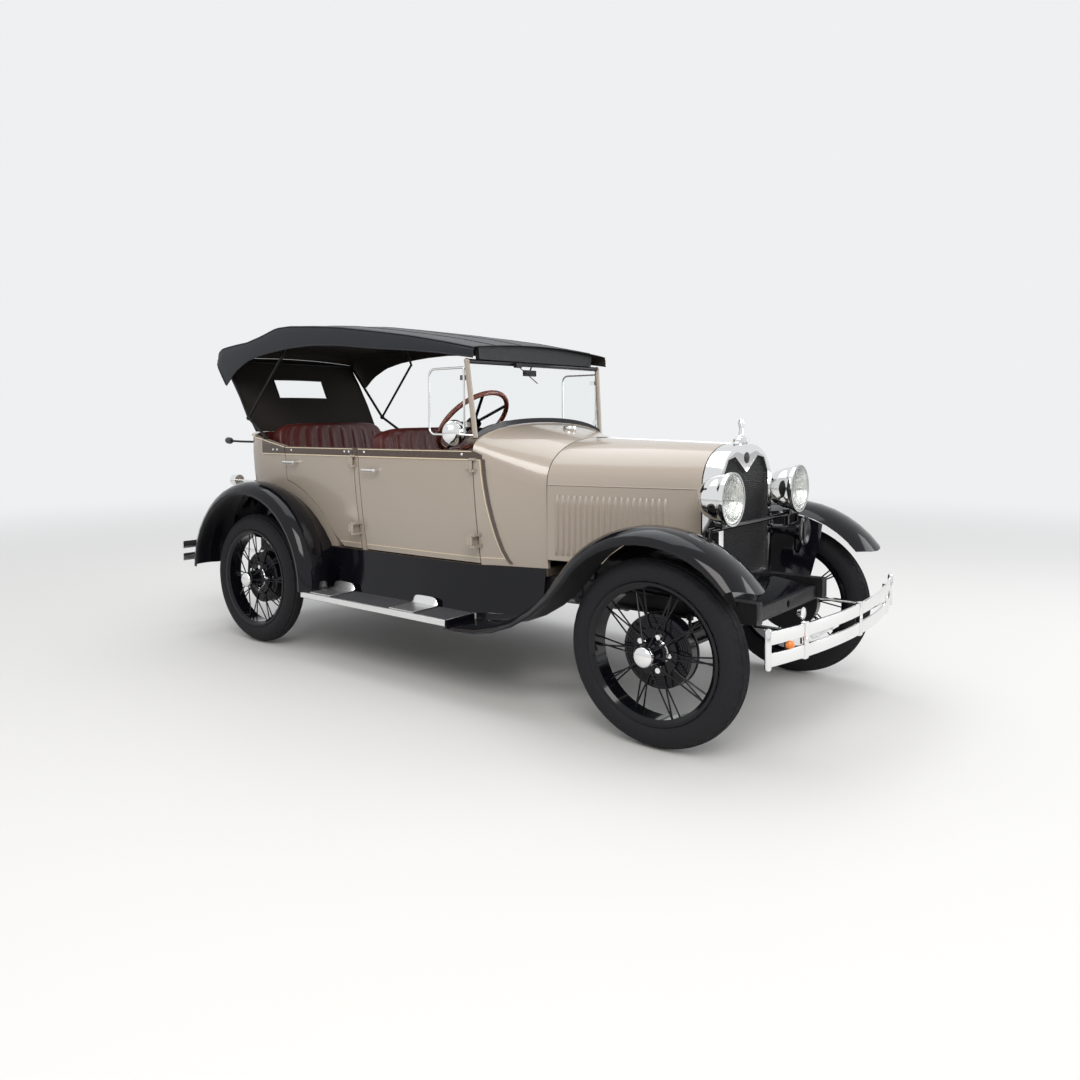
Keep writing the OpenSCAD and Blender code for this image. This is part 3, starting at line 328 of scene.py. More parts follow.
def lathe_mesh(profile, origin, axis, count, closed=False):
    """Turned piece: profile is (radius, height) along the axis, closed on itself for a ring."""
    loop = profile if closed else [(0, profile[0][1])] + list(profile) + [(0, profile[-1][1])]
    turn = sum(p[0] * q[1] - q[0] * p[1] for p, q in zip(loop, loop[1:] + loop[:1]))
    if turn < 0:
        profile = profile[::-1]
    z = Vector(axis).normalized()
    x = z.orthogonal().normalized()
    y = z.cross(x)
    o = world(origin)
    verts, faces = [], []
    n = len(profile)
    for i in range(count):
        a = 2 * math.pi * i / count
        d = x * math.cos(a) + y * math.sin(a)
        for r, h in profile:
            verts.append(o + d * (r / 1000) + z * (h / 1000))
    last = n if closed else n - 1
    for i in range(count):
        for j in range(last):
            a = i * n + j
            b = i * n + (j + 1) % n
            c = (i + 1) % count * n + (j + 1) % n
            d = (i + 1) % count * n + j
            faces.append((a, d, c, b))
    if not closed:
        faces.append(tuple(reversed([i * n for i in range(count)])))
        faces.append(tuple(i * n + n - 1 for i in range(count)))
    return verts, faces


def lathe(name, profile, origin, axis, material, body, count):
    verts, faces = lathe_mesh(profile, origin, axis, count)
    return make(name, verts, faces, material, body)


def tube_mesh(points, radius, count):
    """Round bar along a line of points, with closed ends."""
    pts = [world(p) for p in points]
    verts, faces = [], []
    for i, p in enumerate(pts):
        d = (pts[min(i + 1, len(pts) - 1)] - pts[max(i - 1, 0)]).normalized()
        x = d.cross(Vector((0.13, 0.31, 0.94))).normalized()
        y = d.cross(x)
        for k in range(count):
            a = 2 * math.pi * k / count
            verts.append(p + (x * math.cos(a) + y * math.sin(a)) * radius / 1000)
    for i in range(len(pts) - 1):
        for k in range(count):
            a = i * count + k
            b = i * count + (k + 1) % count
            faces.append((a, b, b + count, a + count))
    faces.append(tuple(reversed(range(count))))
    faces.append(tuple(range((len(pts) - 1) * count, len(pts) * count)))
    return verts, faces


def tube(name, points, radius, material, body, count):
    verts, faces = tube_mesh(points, radius, count)
    return make(name, verts, faces, material, body)


def block_mesh(low, high):
    a, b = world(low), world(high)
    verts = [Vector((x, y, z)) for x in (a.x, b.x) for y in (a.y, b.y) for z in (a.z, b.z)]
    faces = [(0, 1, 3, 2), (4, 6, 7, 5), (0, 4, 5, 1), (2, 3, 7, 6), (0, 2, 6, 4), (1, 5, 7, 3)]
    return verts, faces


def block(name, low, high, material, body, bevel):
    low, high = [min(p) for p in zip(low, high)], [max(p) for p in zip(low, high)]
    verts, faces = block_mesh(low, high)
    obj = make(name, verts, faces, material, body)
    add_bevel(obj, bevel)
    return obj


def add_bevel(obj, width, segments=2, angle=35):
    m = obj.modifiers.new("edge", "BEVEL")
    m.width = width / 1000
    m.segments = segments
    m.limit_method = "ANGLE"
    m.angle_limit = math.radians(angle)
    m.harden_normals = False
    return m


def join(parts):
    verts, faces = [], []
    for v, f in parts:
        k = len(verts)
        verts += list(v)
        faces += [tuple(i + k for i in face) for face in f]
    return verts, faces


# CAD pieces that stay: finish, welded and smoothed with edges kept
NODE_FINISH = {
    "frame": SATIN, "front_axle": SATIN, "springs": SATIN, "rear_axle": SATIN, "engine": GREEN,
    "exhaust": STEEL,
    "radiator_core": CORE, "radiator_shell": CHROME, "radiator_cap": CHROME, "firewall": BLACK,
    "floor": WOOD,
    "hinge_posts": BEIGE, "windscreen_frame": BLACK, "windscreen_glass": GLASS, "top_irons": SATIN,
    "fender_aprons": BLACK, "running_boards": RUBBER, "splash_aprons": BLACK, "headlamps": CHROME,
    "lamp_lenses": LENS, "lamp_bar": BLACK, "front_bumper": CHROME, "rear_bumpers": CHROME,
    "tail_lamps": CHROME,
    "steering_column": BLACK, "spare_wheel": BLACK, "spare_tyre": TYRE, "knuckle_right": SATIN,
    "knuckle_left": SATIN,
    "tie_rod": SATIN, "drag_link": SATIN, "pitman_arm": SATIN, "steering_wheel": WHEEL_RIM, "cowl": BEIGE,
    "rear_body": BEIGE, "seats": LEATHER, "top": CLOTH, "back_curtain": CLOTH, "front_fenders": BLACK,
    "rear_fenders": BLACK}
NODE_BEVEL = {"radiator_shell": 12, "front_bumper": 3, "rear_bumpers": 3, "engine": 8, "running_boards": 5,
              "lamp_bar": 1.5, "frame": 4, "steering_column": 3, "floor": 3}
for name, obj in nodes.items():
    finish = NODE_FINISH.get(name)
    if finish is None:
        if name.startswith("tyre"):
            finish = TYRE
        elif name.startswith("wheel_"):
            finish = BLACK
        else:
            finish = BEIGE
    obj.data.materials.clear()
    obj.data.materials.append(finish)
    for face in obj.data.polygons:
        face.material_index = 0
        face.use_smooth = True
    weld = obj.modifiers.new("weld", "WELD")
    weld.merge_threshold = 0.00002
    if name in NODE_BEVEL:
        add_bevel(obj, NODE_BEVEL[name], 3, 40)
    split = obj.modifiers.new("keep edges", "EDGE_SPLIT")
    split.split_angle = math.radians(32)


def paint(name, material, test):
    """Gives the faces of a CAD piece that pass the test another finish.

    The test takes the face's centre, in mm from the front axle, and its normal.
    """
    mesh = nodes[name].data
    mesh.materials.append(material)
    index = len(mesh.materials) - 1
    for face in mesh.polygons:
        c = face.center
        if test((c.x * 1000 - AXLE_X, c.y * 1000, c.z * 1000), face.normal):
            face.material_index = index


SIDES = (("right", -1), ("left", 1))
CABIN_X = -2450
HANDLE_LOW = 1030
for side, s in SIDES:
    for door, rear_x in (("front", FRONT_DOOR_REAR_X - 1), ("rear", DOOR_REAR_X)):
        name = f"{door}_door_{side}"
        paint(name, LEATHER, lambda c, n: n.y * s < -0.5 and abs(c[1]) < side_y(c[0], c[2]) - 20)
        paint(name, CHROME, lambda c, n: (abs(c[1]) > side_y(c[0], c[2]) + 3 and c[2] > HANDLE_LOW
                                          and c[0] < rear_x + 240))


def faces_cabin(c, n):
    away = Vector((c[0] - CABIN_X, c[1])).normalized()
    return n.x * away.x + n.y * away.y < -0.25 and c[2] > 640


paint("rear_body", LEATHER, faces_cabin)
paint("windscreen_frame", BEIGE, lambda c, n: abs(c[1]) > 542)
HEAD = (-1290, -310, 1300)
paint("steering_wheel", BLACK, lambda c, n: math.dist(c, HEAD) < 165)
paint("radiator_shell", CORE, lambda c, n: n.x > 0.9 and 47 < c[0] < 49)
paint("running_boards", BLACK, lambda c, n: n.z < 0.5)
WHEELS = (("front_right", 0.0, -1), ("front_left", 0.0, 1), ("rear_right", REAR, -1), ("rear_left", REAR, 1))
DRUM_RING = ((-3, -8.5), (-1.5, -5.5), (1.5, -5.5), (3, -8.5))


def wheel_nut(x):
    """Test for the faces of the nuts round a wheel's hub."""
    def test(c, n):
        r = math.hypot(c[0] - x, c[2] - WHEEL_Z)
        h = abs(c[1]) - HALF_TRACK
        return 57.9 < r < 83 and 10.5 < h < 27.5
    return test


for tag, x, s in WHEELS:
    paint("wheel_" + tag, CHROME, wheel_nut(x))
    centre = (x, s * HALF_TRACK, WHEEL_Z)
    rings = [lathe_mesh([(r + wide, high) for wide, high in DRUM_RING], centre, (0, s, 0), 72, True)
             for r in (104, 114, 124, 134)]
    make("drum rings " + tag, *join(rings), BLACK, "road_wheel_" + tag)


# Tyres with a ribbed tread, hub caps
TYRE_CORE = 322.0
TYRE_ROUND = 59.0
BEAD = 286.3
TYRE_STEPS = 144
GROOVES = (-27, -9, 9, 27)


def tyre(name, origin, axis, body, node):
    """Round tyre with zigzag grooves, cut shoulder blocks and a raised line on each wall."""
    z = Vector(axis).normalized()
    x = z.orthogonal().normalized()
    y = z.cross(x)
    o = world(origin)
    cut = math.acos((BEAD - TYRE_CORE) / TYRE_ROUND)
    angles = span(-cut, cut, 56)
    verts, faces = [], []
    for i in range(TYRE_STEPS):
        a = 2 * math.pi * i / TYRE_STEPS
        d = x * math.cos(a) + y * math.sin(a)
        zig = 2.0 if i % 4 < 2 else -2.0
        for t in angles:
            h = TYRE_ROUND * math.sin(t)
            depth = 0.0
            for g in GROOVES:
                if abs(h - g - zig) < 2.6:
                    depth = 5.0
            if 36 < abs(h) < 47 and i % 4 < 1:
                depth = 4.0
            if 53.2 < abs(h) < 55.2 and abs(t) > 1.1:
                depth = -0.8
            k = TYRE_ROUND - depth
            verts.append(o + d * (TYRE_CORE + k * math.cos(t)) / 1000 + z * (k * math.sin(t)) / 1000)
    n = len(angles)
    for i in range(TYRE_STEPS):
        for j in range(n):
            a, b = i * n + j, i * n + (j + 1) % n
            c, e = (i + 1) % TYRE_STEPS * n + (j + 1) % n, (i + 1) % TYRE_STEPS * n + j
            faces.append((a, e, c, b))
    return make(name, verts, faces, TYRE, body, 30, (node,))


SPARE = (REAR - 500, 0, 790)
HUB_CAP = [(41, 88), (43, 96), (42, 106), (38, 113), (26, 119), (10, 121), (0.01, 121.3)]
for tag, x, s in WHEELS:
    body = "road_wheel_" + tag
    tyre("ribbed tyre " + tag, (x, s * HALF_TRACK, WHEEL_Z), (0, s, 0), body, "tyre_" + tag)
    lathe("hub cap " + tag, HUB_CAP, (x, s * HALF_TRACK, WHEEL_Z), (0, s, 0), CHROME, body, 48)
tyre("ribbed tyre spare", SPARE, (-1, 0, 0), "chassis", "spare_tyre")
lathe("hub cap spare", HUB_CAP, SPARE, (-1, 0, 0), CHROME, "chassis", 48)


# Seats: leather base, pleated cushions
CUSHION_POWER = 7.0
CUSHION_STEPS = 34
PLEATS = 9
PLEAT_DEPTH = 14


def cushion_mesh(size, upright):
    """Rounded box with pleats on its upper face, or on its front face if it stands upright."""
    verts, faces, index = [], [], {}

    def put(p):
        key = tuple(round(c, 5) for c in p)
        if key not in index:
            q = (sum(abs(c) ** CUSHION_POWER for c in p)) ** (1 / CUSHION_POWER)
            v = [c / q * size[k] / 2 for k, c in enumerate(p)]
            front, cross = (0, 2) if upright else (2, 0)
            face = max(0.0, p[front]) ** 2
            edge = 1 - max(abs(p[1]), abs(p[cross])) ** 8
            wave = abs(math.sin(math.pi * PLEATS * (p[1] + 1) / 2))
            v[front] += PLEAT_DEPTH * (wave ** 0.6 - 1) * face * edge
            index[key] = len(verts)
            verts.append(Vector(v))
        return index[key]

    fine = PLEATS * 8
    for axis in range(3):
        others = [k for k in range(3) if k != axis]
        counts = [fine if k == 1 else CUSHION_STEPS for k in others]
        for sign in (-1, 1):
            for i in range(counts[0]):
                for j in range(counts[1]):
                    quad = []
                    for di, dj in ((0, 0), (1, 0), (1, 1), (0, 1)):
                        p = [0, 0, 0]
                        p[axis] = sign
                        p[others[0]] = -1 + 2 * (i + di) / counts[0]
                        p[others[1]] = -1 + 2 * (j + dj) / counts[1]
                        quad.append(put(p))
                    flip = (sign < 0) != (axis == 1)
                    faces.append(tuple(reversed(quad)) if flip else tuple(quad))
    return verts, faces


def turned(mesh, origin, tilt):
    verts, faces = mesh
    turn = Matrix.Rotation(tilt, 3, "Y")
    o = world(origin)
    return [o + turn @ (v / 1000) for v in verts], faces


SEATS = (("front seat", DOOR_X - 240, 1000, 1270), ("rear seat", TAIL_X + 725, 900, 1300))
for name, x0, width, top in SEATS:
    base = block_mesh((x0 - 555, -width / 2 + 6, FLOOR_TOP + 0.4), (x0 - 12, width / 2 - 6, SILL + 150))
    base_piece = make(name + " base", *base, LEATHER, "chassis")
    add_bevel(base_piece, 14, 3)
    pad = turned(cushion_mesh((500, width, 150), False), (x0 - 250, 0, SILL + 200), 0.07)
    cushion = make(name + " cushion", *pad, LEATHER, "chassis", sharp=70)
    tall = top - SILL - 190
    pad = turned(cushion_mesh((105, width, tall), True), (x0 - 522, 0, SILL + 190 + tall / 2), -0.2)
    back = make(name + " back", *pad, LEATHER, "chassis", sharp=70)
    if name == "front seat":
        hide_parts("seats")


# Folding top and back curtain, cloth over the bows
TOP_HEIGHT = 1893.0
# Share of the way back, drop of the roof edge and of the valance, rise of the crown, extra half width
TOP_SHARES = [
    (-0.001, 225, 278, 28, -6), (0.106, 181, 246, 30, 0), (0.219, 140, 220, 30, 0), (0.351, 100, 196, 30, 0),
    (0.502, 58, 161, 28, 0), (0.631, 33, 145, 26, 0), (0.733, 18, 150, 18, 0), (0.798, 20, 159, 20, 0),
    (0.876, 57, 175, 24, 0), (0.951, 85, 205, 26, 0), (1.018, 93, 265, 26, -2), (1.071, 102, 350, 24, -4),
    (1.097, 109, 287, 24, -6), (1.118, 129, 238, 24, -10), (1.13, 171, 203, 24, -16)]
TOP = [(mix(DOOR_X, TAIL_X, f), TOP_HEIGHT - side, TOP_HEIGHT - low, rise, wide)
       for f, side, low, rise, wide in TOP_SHARES]
TOP_HALF = 602.0
SAG = 5.0
UNDER_TOP = Vector((-0.65, 0, 1.45))


def top_at(t):
    """Station along the top, t counted in table rows; the cloth sags a little between the bows."""
    i = min(int(t), len(TOP) - 2)
    f = t - i
    x, side, low, rise, wide = [mix(a, b, f) for a, b in zip(TOP[i], TOP[i + 1])]
    for start, end in ((0.4, 4), (4, 7)):
        if start < t < end:
            rise -= SAG * math.sin(math.pi * (t - start) / (end - start)) ** 2
    return [x, side, low, rise, wide]


def top_row(t):
    x, side, low, rise, wide = top_at(t)
    w = TOP_HALF + wide
    pts = [(x, -w, low), (x, -w - 1, mix(low, side, 0.35)), (x, -w, mix(low, side, 0.7)),
           (x, -w + 3, side - 14), (x, -w + 7, side - 5), (x, -w + 14, side)]
    pts += [(x, -w * u, side + rise * (1 - u * u)) for u in span(0.93, 0.0, 14)]
    return pts + [(px, -py, pz) for px, py, pz in reversed(pts[:-1])]


rows = [top_row(t) for t in span(0, len(TOP) - 1, 56)]
cloth = sheet_piece("cloth top", rows, 3.0, CLOTH, "chassis", stands_for=("top",))
cloth.data.materials.append(LINING)
for face in cloth.data.polygons:
    if face.normal.dot(face.center - UNDER_TOP) < 0:
        face.material_index = 1
top_seams = []
for y in (-430, -215, 215, 430):
    line = []
    for t in span(0, len(TOP) - 1, 44):
        x, side_z, low, rise, wide = top_at(t)
        u = y / (TOP_HALF + wide)
        line.append((x, y, side_z + rise * (1 - u * u) + 0.6))
    top_seams.append(tube_mesh(line, 2.2, 8))
seams = make("top seams", *join(top_seams), CLOTH, "chassis")
edges = []
for s in (-1, 1):
    stations = [top_at(t) for t in span(0, len(TOP) - 1, 44)]
    edges.append(tube_mesh([(x, s * (TOP_HALF + wide + 0.5), low + 1) for x, _, low, _, wide in stations],
                           4.0, 8))
    stations = [top_at(t) for t in span(0, len(TOP) - 1.3, 44)]
    edges.append(tube_mesh([(x, s * (TOP_HALF + wide - 6), side_z - 4) for x, side_z, _, _, wide in stations],
                           3.4, 8))
edge_piece = make("top welts", *join(edges), CLOTH, "chassis")

CURTAIN_X = TOP[-1][0]
CURTAIN_RUN = TAIL_X - CURTAIN_X + 6
CURTAIN_RUNS = [(0, 0), (0.3, 0.34), (0.65, 0.68), (1, 1)]
CURTAIN_NARROWS = [(0, 0), (0.3, 6), (0.65, 16), (1, 36)]
WINDOW_HALF = 0.362
WINDOW_TOP = 0.292
WINDOW_FOOT = 0.556


def curtain_point(r, u):
    """Point of the curtain, r from its top to its foot and u across, 1 on the right."""
    dx = lookup(r, CURTAIN_RUNS) * CURTAIN_RUN
    _, side_z, _, rise, wide = TOP[-1]
    w = TOP_HALF + wide - lookup(r, CURTAIN_NARROWS)
    z = side_z + rise * (1 - u * u) - 4.1
    return (CURTAIN_X + dx + r * 80 * abs(u) ** 6, -w * u, mix(z, REAR_TOP + 0.3, r))


us = span(0.95, WINDOW_HALF, 14) + span(WINDOW_HALF, -WINDOW_HALF, 18)[1:] + span(-WINDOW_HALF, -0.95, 14)[1:]
rs = span(0, WINDOW_TOP, 7) + span(WINDOW_TOP, WINDOW_FOOT, 7)[1:] + span(WINDOW_FOOT, 1, 10)[1:]
window = (rs.index(WINDOW_TOP), rs.index(WINDOW_FOOT), us.index(WINDOW_HALF), us.index(-WINDOW_HALF))
verts, faces = sheet_mesh([[curtain_point(r, u) for u in us] for r in rs], 3.0, hole=window)
curtain = make("back curtain cloth", verts, faces, CLOTH, "chassis", stands_for=("back_curtain",))
curtain.data.materials.append(LINING)
for face in curtain.data.polygons:
    if face.normal.x > 0.2:
        face.material_index = 1
ring = [(WINDOW_TOP, u) for u in us[window[2]:window[3]]]
ring += [(r, -WINDOW_HALF) for r in rs[window[0]:window[1]]]
ring += [(WINDOW_FOOT, u) for u in reversed(us[window[2] + 1:window[3] + 1])]
ring += [(r, WINDOW_HALF) for r in reversed(rs[window[0] + 1:window[1] + 1])]
rim_line = [(x + 1, y, z) for x, y, z in (curtain_point(r, u) for r, u in ring)]
window_rim = tube("curtain window rim", rim_line + rim_line[:2], 6, CLOTH, "chassis", 10)
pane = [[curtain_point(r, u) for u in us[window[2]:window[3] + 1]] for r in rs[window[0]:window[1] + 1]]
window_pane = sheet_piece("curtain window", pane, 2.0, GLASS, "chassis")


# Belt moulding and cream lines along the body
BELT_LOW, BELT_HIGH = 1122, 1166
LINE_LOW, LINE_HIGH = 1118, 1123
UPPER_LOW, UPPER_HIGH = 1158, 1162
FOOT_LOW, FOOT_HIGH = 634, 637.5


def belt_strip(name, xs, low, high, out, material, body, s, depth):
    """Strip on the body's side from height low to high, standing out by the given amount."""
    grid = [[(x, -(side_y(x, z) + out), z) for z in span(low, high, 4)] for x in xs]
    return sheet_piece(name, grid, depth, material, body, s)


DOORS = (("front_door", DOOR_X - 7, FRONT_DOOR_REAR_X), ("rear_door", REAR_DOOR_X - 1, DOOR_REAR_X + 1))
for side, s in SIDES:
    for door, x0, x1 in DOORS:
        name = f"{door}_{side}"
        xs = span(x0, x1, 20)
        belt_strip(name + " belt", xs, BELT_LOW, BELT_HIGH, 3.5, BROWN, name, s, 4)
        belt_strip(name + " upper line", xs, UPPER_LOW, UPPER_HIGH, 4.2, CREAM, name, s, 2)
        belt_strip(name + " lower line", xs, LINE_LOW, LINE_HIGH, 3.9, CREAM, name, s, 4)
    xs = span(DOOR_X - 7, FRONT_DOOR_REAR_X, 16)
    belt_strip(f"sill line {side}", xs, FOOT_LOW, FOOT_HIGH, 0.9, CREAM, f"front_door_{side}", s, 1.2)
    xs = span(REAR_DOOR_X - 1, -2060, 8)
    belt_strip(f"rear sill line {side}", xs, FOOT_LOW, FOOT_HIGH, 0.9, CREAM, f"rear_door_{side}", s, 1.2)


# Bonnet sides with pressed louvres
def hood_half(x):
    return mix(280, 440, (x - HOOD_FRONT_X) / (HOOD_BACK_X - HOOD_FRONT_X))


LOUVRE_STEPS = 14


def hood_side_mesh(s):
    skin = [[(x, -hood_half(x) - 1, z) for z in (645, 998.5)] for x in span(HOOD_FRONT_X, HOOD_BACK_X, 4)]
    parts = [sheet_mesh(skin, 4, s)]
    for x0 in span(-160, -660, 18):
        rows = []
        for k, z in enumerate(span(668, 955, LOUVRE_STEPS)):
            taper = min(1, math.sin(math.pi * k / LOUVRE_STEPS) * 4)
            line = []
            for u in span(0, 1, 8):
                lift = 10 * math.sin(math.pi * u ** 1.3) * taper
                x = x0 - 21 * u
                line.append((x, -hood_half(x) - 1 - lift, z))
            rows.append(line)
        parts.append(sheet_mesh([list(r) for r in zip(*rows)], 0.8, s))
    return join(parts)


for side, s in SIDES:
    make(f"louvred side {side}", *hood_side_mesh(s), BEIGE, f"hood_side_{side}", 30, (f"hood_side_{side}",))


# Belt on the pillars, rear body and cowl, snap buttons
TAIL_ROUND = 230
COWL_CURVE = [(-1008, 1122), (-1006, 1060), (-1001, 990), (-993, 910), (-981, 830), (-965, 750), (-945, 680),
              (-922, 630), (-908, 612)]
COWL_LINE = [(mix(a[0], b[0], t), mix(a[1], b[1], t)) for a, b in zip(COWL_CURVE, COWL_CURVE[1:])
             for t in (0, 0.25, 0.5, 0.75)] + COWL_CURVE[-1:]
SNAP = [(7.5, -2), (7, 2), (4.5, 4.4), (0.01, 5)]
SNAP_Z = 1145


def quarter_top(x):
    return lookup(x, [(TAIL_X, REAR_TOP), (TAIL_X + TAIL_ROUND, BELT + 50), (QUARTER_X, BELT)])


def cowl_surface(x, z):
    return cowl_y(x, min(z, cowl_line(x)))


def body_path():
    """Outline of the rear body at the belt, from the right rear door round to the middle of the back."""
    x0 = TAIL_X + TAIL_ROUND
    pts = [(x, belt_half(x)) for x in span(QUARTER_X, x0, 8)]
    r = belt_half(x0) - TAIL_ROUND
    pts += [(x0 - TAIL_ROUND * math.sin(a), r + TAIL_ROUND * math.cos(a)) for a in span(0.1, math.pi / 2, 12)]
    return pts + [(TAIL_X - 4, 180), (TAIL_X - 6, 0)]


def rear_strip(pts, low, high, out, s):
    """Strip round the rear body; low and high give its edges' heights at x."""
    rows = []
    for i, (x, y) in enumerate(pts):
        a, b = pts[max(i - 1, 0)], pts[min(i + 1, len(pts) - 1)]
        n = Vector((b[1] - a[1], -(b[0] - a[0]))).normalized()
        row = []
        for k in range(3):
            z = mix(low(x), high(x), k / 2)
            t = out - tuck(z)
            row.append((x + n.x * t, -(y + n.y * t), z))
        rows.append(row)
    return sheet_mesh(rows, 4, s)


def cowl_strip(shift, width, out, depth, low, s):
    """Strip along the cowl's curve, down to height low."""
    grid = [[(x + shift + width * k, -(cowl_surface(x + shift + width * k, z) + out), z) for k in (0, 0.5, 1)]
            for x, z in COWL_LINE if z > low]
    return sheet_mesh([list(r) for r in zip(*grid)][::-1], depth, s)


def cowl_line_mesh(front_x, heights, out, depth, s, steps):
    """Level strip on the cowl from front_x back to the door."""
    rows = [[(x, -(cowl_surface(x, z) + out), z) for z in heights] for x in span(front_x, DOOR_X + 1, steps)]
    return sheet_mesh(rows, depth, s)


for side, s in SIDES:
    pillar = span(PILLAR_X - 1, PILLAR_X - 31, 2)
    belt_strip(f"pillar belt {side}", pillar, BELT_LOW, BELT_HIGH, 3.5, BROWN, "chassis", s, 4)
    belt_strip(f"pillar lower line {side}", pillar, LINE_LOW, LINE_HIGH, 3.9, CREAM, "chassis", s, 4)
    path = body_path()
    brown = [p for p in path if p[0] > TAIL_X + 262]
    belt = rear_strip(brown, lambda x: BELT_LOW, lambda x: quarter_top(x) + 0.5, 3.5, s)
    make(f"rear belt {side}", *belt, BROWN, "chassis")
    parts = [rear_strip(brown, lambda x: LINE_LOW, lambda x: LINE_HIGH, 3.9, s),
             rear_strip(path, lambda x: quarter_top(x) - 6, lambda x: quarter_top(x) - 1, 4.4, s)]
    make(f"rear lines {side}", *join(parts), CREAM, "chassis")
    top_line = [[(x, -(cowl_surface(x, z) + 3.5), z) for z in span(1120, min(1164, cowl_line(x)), 3)]
                for x in span(-1003, DOOR_X + 1, 4)]
    parts = [cowl_strip(0, 16, 2.5, 3, 600, s), sheet_mesh(top_line, 4, s)]
    make(f"cowl belt {side}", *join(parts), BROWN, "chassis")
    parts = [cowl_strip(-9, 4, 1.2, 2, 629, s), cowl_line_mesh(-1012, (1117, 1119, 1121), 3.9, 3, s, 4),
             cowl_line_mesh(-931, (634, 636, 638), 1.2, 2, s, 8)]
    make(f"cowl line {side}", *join(parts), CREAM, "chassis")
    for body, places in ((f"front_door_{side}", (-1112, -1790)), (f"rear_door_{side}", (-1912, -1948, -2420)),
                         ("chassis", (-2560, -2600))):
        snaps = [lathe_mesh(SNAP, (x, s * (side_y(x, SNAP_Z) + 2.5), SNAP_Z), (0, s, 0), 16) for x in places]
        make(f"snaps {body} {side}", *join(snaps), CHROME, body)


# Running boards: ribbed mat, bright edges, step plates
BOARD_FRONT_X, BOARD_REAR_X = -1036, -2107
BOARD_IN, BOARD_OUT = 604, 822
BOARD_TOP = 372
TRIM_TOP = BOARD_TOP + 3
PLATE_Z = BOARD_TOP + 4
TRIMS = [((BOARD_REAR_X, 806, BOARD_TOP), (BOARD_FRONT_X, BOARD_OUT, TRIM_TOP)),
         ((BOARD_REAR_X, BOARD_OUT, 346), (BOARD_FRONT_X, BOARD_OUT + 3, TRIM_TOP)),
         ((BOARD_REAR_X, BOARD_IN, BOARD_TOP), (BOARD_REAR_X + 12, BOARD_OUT, TRIM_TOP)),
         ((BOARD_FRONT_X - 12, BOARD_IN, BOARD_TOP), (BOARD_FRONT_X, BOARD_OUT, TRIM_TOP))]


def side_block(low, high, s):
    """Block given for the left side, mirrored for the right."""
    ys = sorted((s * low[1], s * high[1]))
    return block_mesh((low[0], ys[0], low[2]), (high[0], ys[1], high[2]))


for side, s in SIDES:
    ribs = [side_block((BOARD_REAR_X + 14, y, BOARD_TOP - 0.5), (BOARD_FRONT_X - 14, y + 5, BOARD_TOP + 2), s)
            for y in range(612, 806, 10)]
    make(f"board ribs {side}", *join(ribs), RUBBER, "chassis")
    strips = [side_block(low, high, s) for low, high in TRIMS]
    trim = make(f"board edges {side}", *join(strips), ALU, "chassis")
    add_bevel(trim, 1.2)
    for k, x in enumerate((-1965, -1345)):
        toe = [(-660 + 26 * math.sin(a), PLATE_Z + 26 * (1 - math.cos(a))) for a in span(0, 1.25, 6)]
        line = [(-808, PLATE_Z), (-735, PLATE_Z)] + toe
        line += [(toe[-1][0] + 4, toe[-1][1] + 14), (toe[-1][0] + 8, toe[-1][1] + 27)]
        rows = []
        for u in span(-1, 1, 20):
            round_off = (1 - abs(u) ** 5) ** 0.5
            rows.append([(x + 84 * u, y, PLATE_Z + (z - PLATE_Z) * mix(0.25, 1, round_off)) for y, z in line])
        plate = sheet_piece(f"step plate {side} {k}", rows, 4, ALU, "chassis", s)
        add_bevel(plate, 1.2)


# Valances that close the front fenders' tails to the aprons: x, outer edge (y, z), inner edge (y, z)
VALANCE = [(-1035, 594, 342, 596, 372.5), (-1018, 580, 339.5, 581, 372.5), (-1000, 566, 337.5, 565, 372.5),
           (-972, 566, 338.5, 549, 371), (-857, 566, 345, 512, 371), (-746, 566, 371, 478, 390)]
for side, s in SIDES:
    rows = [[(x, -mix(y, inner_y, t), mix(z, inner_z, t) - 10 * math.sin(math.pi * t)) for t in span(0, 1, 6)]
            for x, y, z, inner_y, inner_z in VALANCE]
    sheet_piece(f"fender valance {side}", rows, 3, BLACK, "chassis", s)
# Painted shade: black sheets stand in for the dark of the rear wheel wells. They lie over the beige body side
# under the rear fenders and, behind the body, close the fenders' inner sides
REAR_SHADE_WALL = [(-2182, 597, 676), (-2260, 607, 770), (-2340, 612, 832), (-2440, 616, 883), (-2540, 627, 910),
             (-2629, 626, 917), (-2720, 622, 909), (-2800, 610, 888), (-2850, 598, 868), (-2900, 583, 844),
             (-2980, 573, 788), (-3040, 564, 728), (-3085, 556, 668)]
for side, s in SIDES:
    rows = [[(x, -y, mix(z, FLOOR_TOP, t)) for t in span(0, 1, 5)] for x, y, z in REAR_SHADE_WALL]
    # painted shade: a black sheet over the wheel well in place of its shadow
    sheet_piece(f"rear fender wall {side}", rows, 3, BLACK, "chassis", s)
    rows = [[(mix(-2034, mix(-2136, -2092, t), u), -mix(mix(566, 606, t), 570, u), mix(596, 373, t))
             for t in span(0, 1, 6)] for u in (0, 0.5, 1)]
    sheet_piece(f"apron end {side}", rows, 3, BLACK, "chassis", s)
# Pan in front of the radiator
PAN = ((232, 527), (180, 541), (120, 549), (64, 553))
rows = [[(x, y, z) for y in span(-342, 342, 8)] for x, z in PAN]
sheet_piece("front pan", rows, 3, BLACK, "chassis")


# Windscreen fittings: wing rims, mirrors, wiper; filler cap
def screen_at(z):
    """Position along the car of the slanting screen at height z."""
    return DOOR_X - 14 - 35 * (z - 1212) / 388


def wing_bracket(c, n):
    level = abs(c[2] - 1290) < 13 or abs(c[2] - 1520) < 13
    return level and 558 < abs(c[1]) < 591.5 and c[0] > screen_at(c[2]) - 48


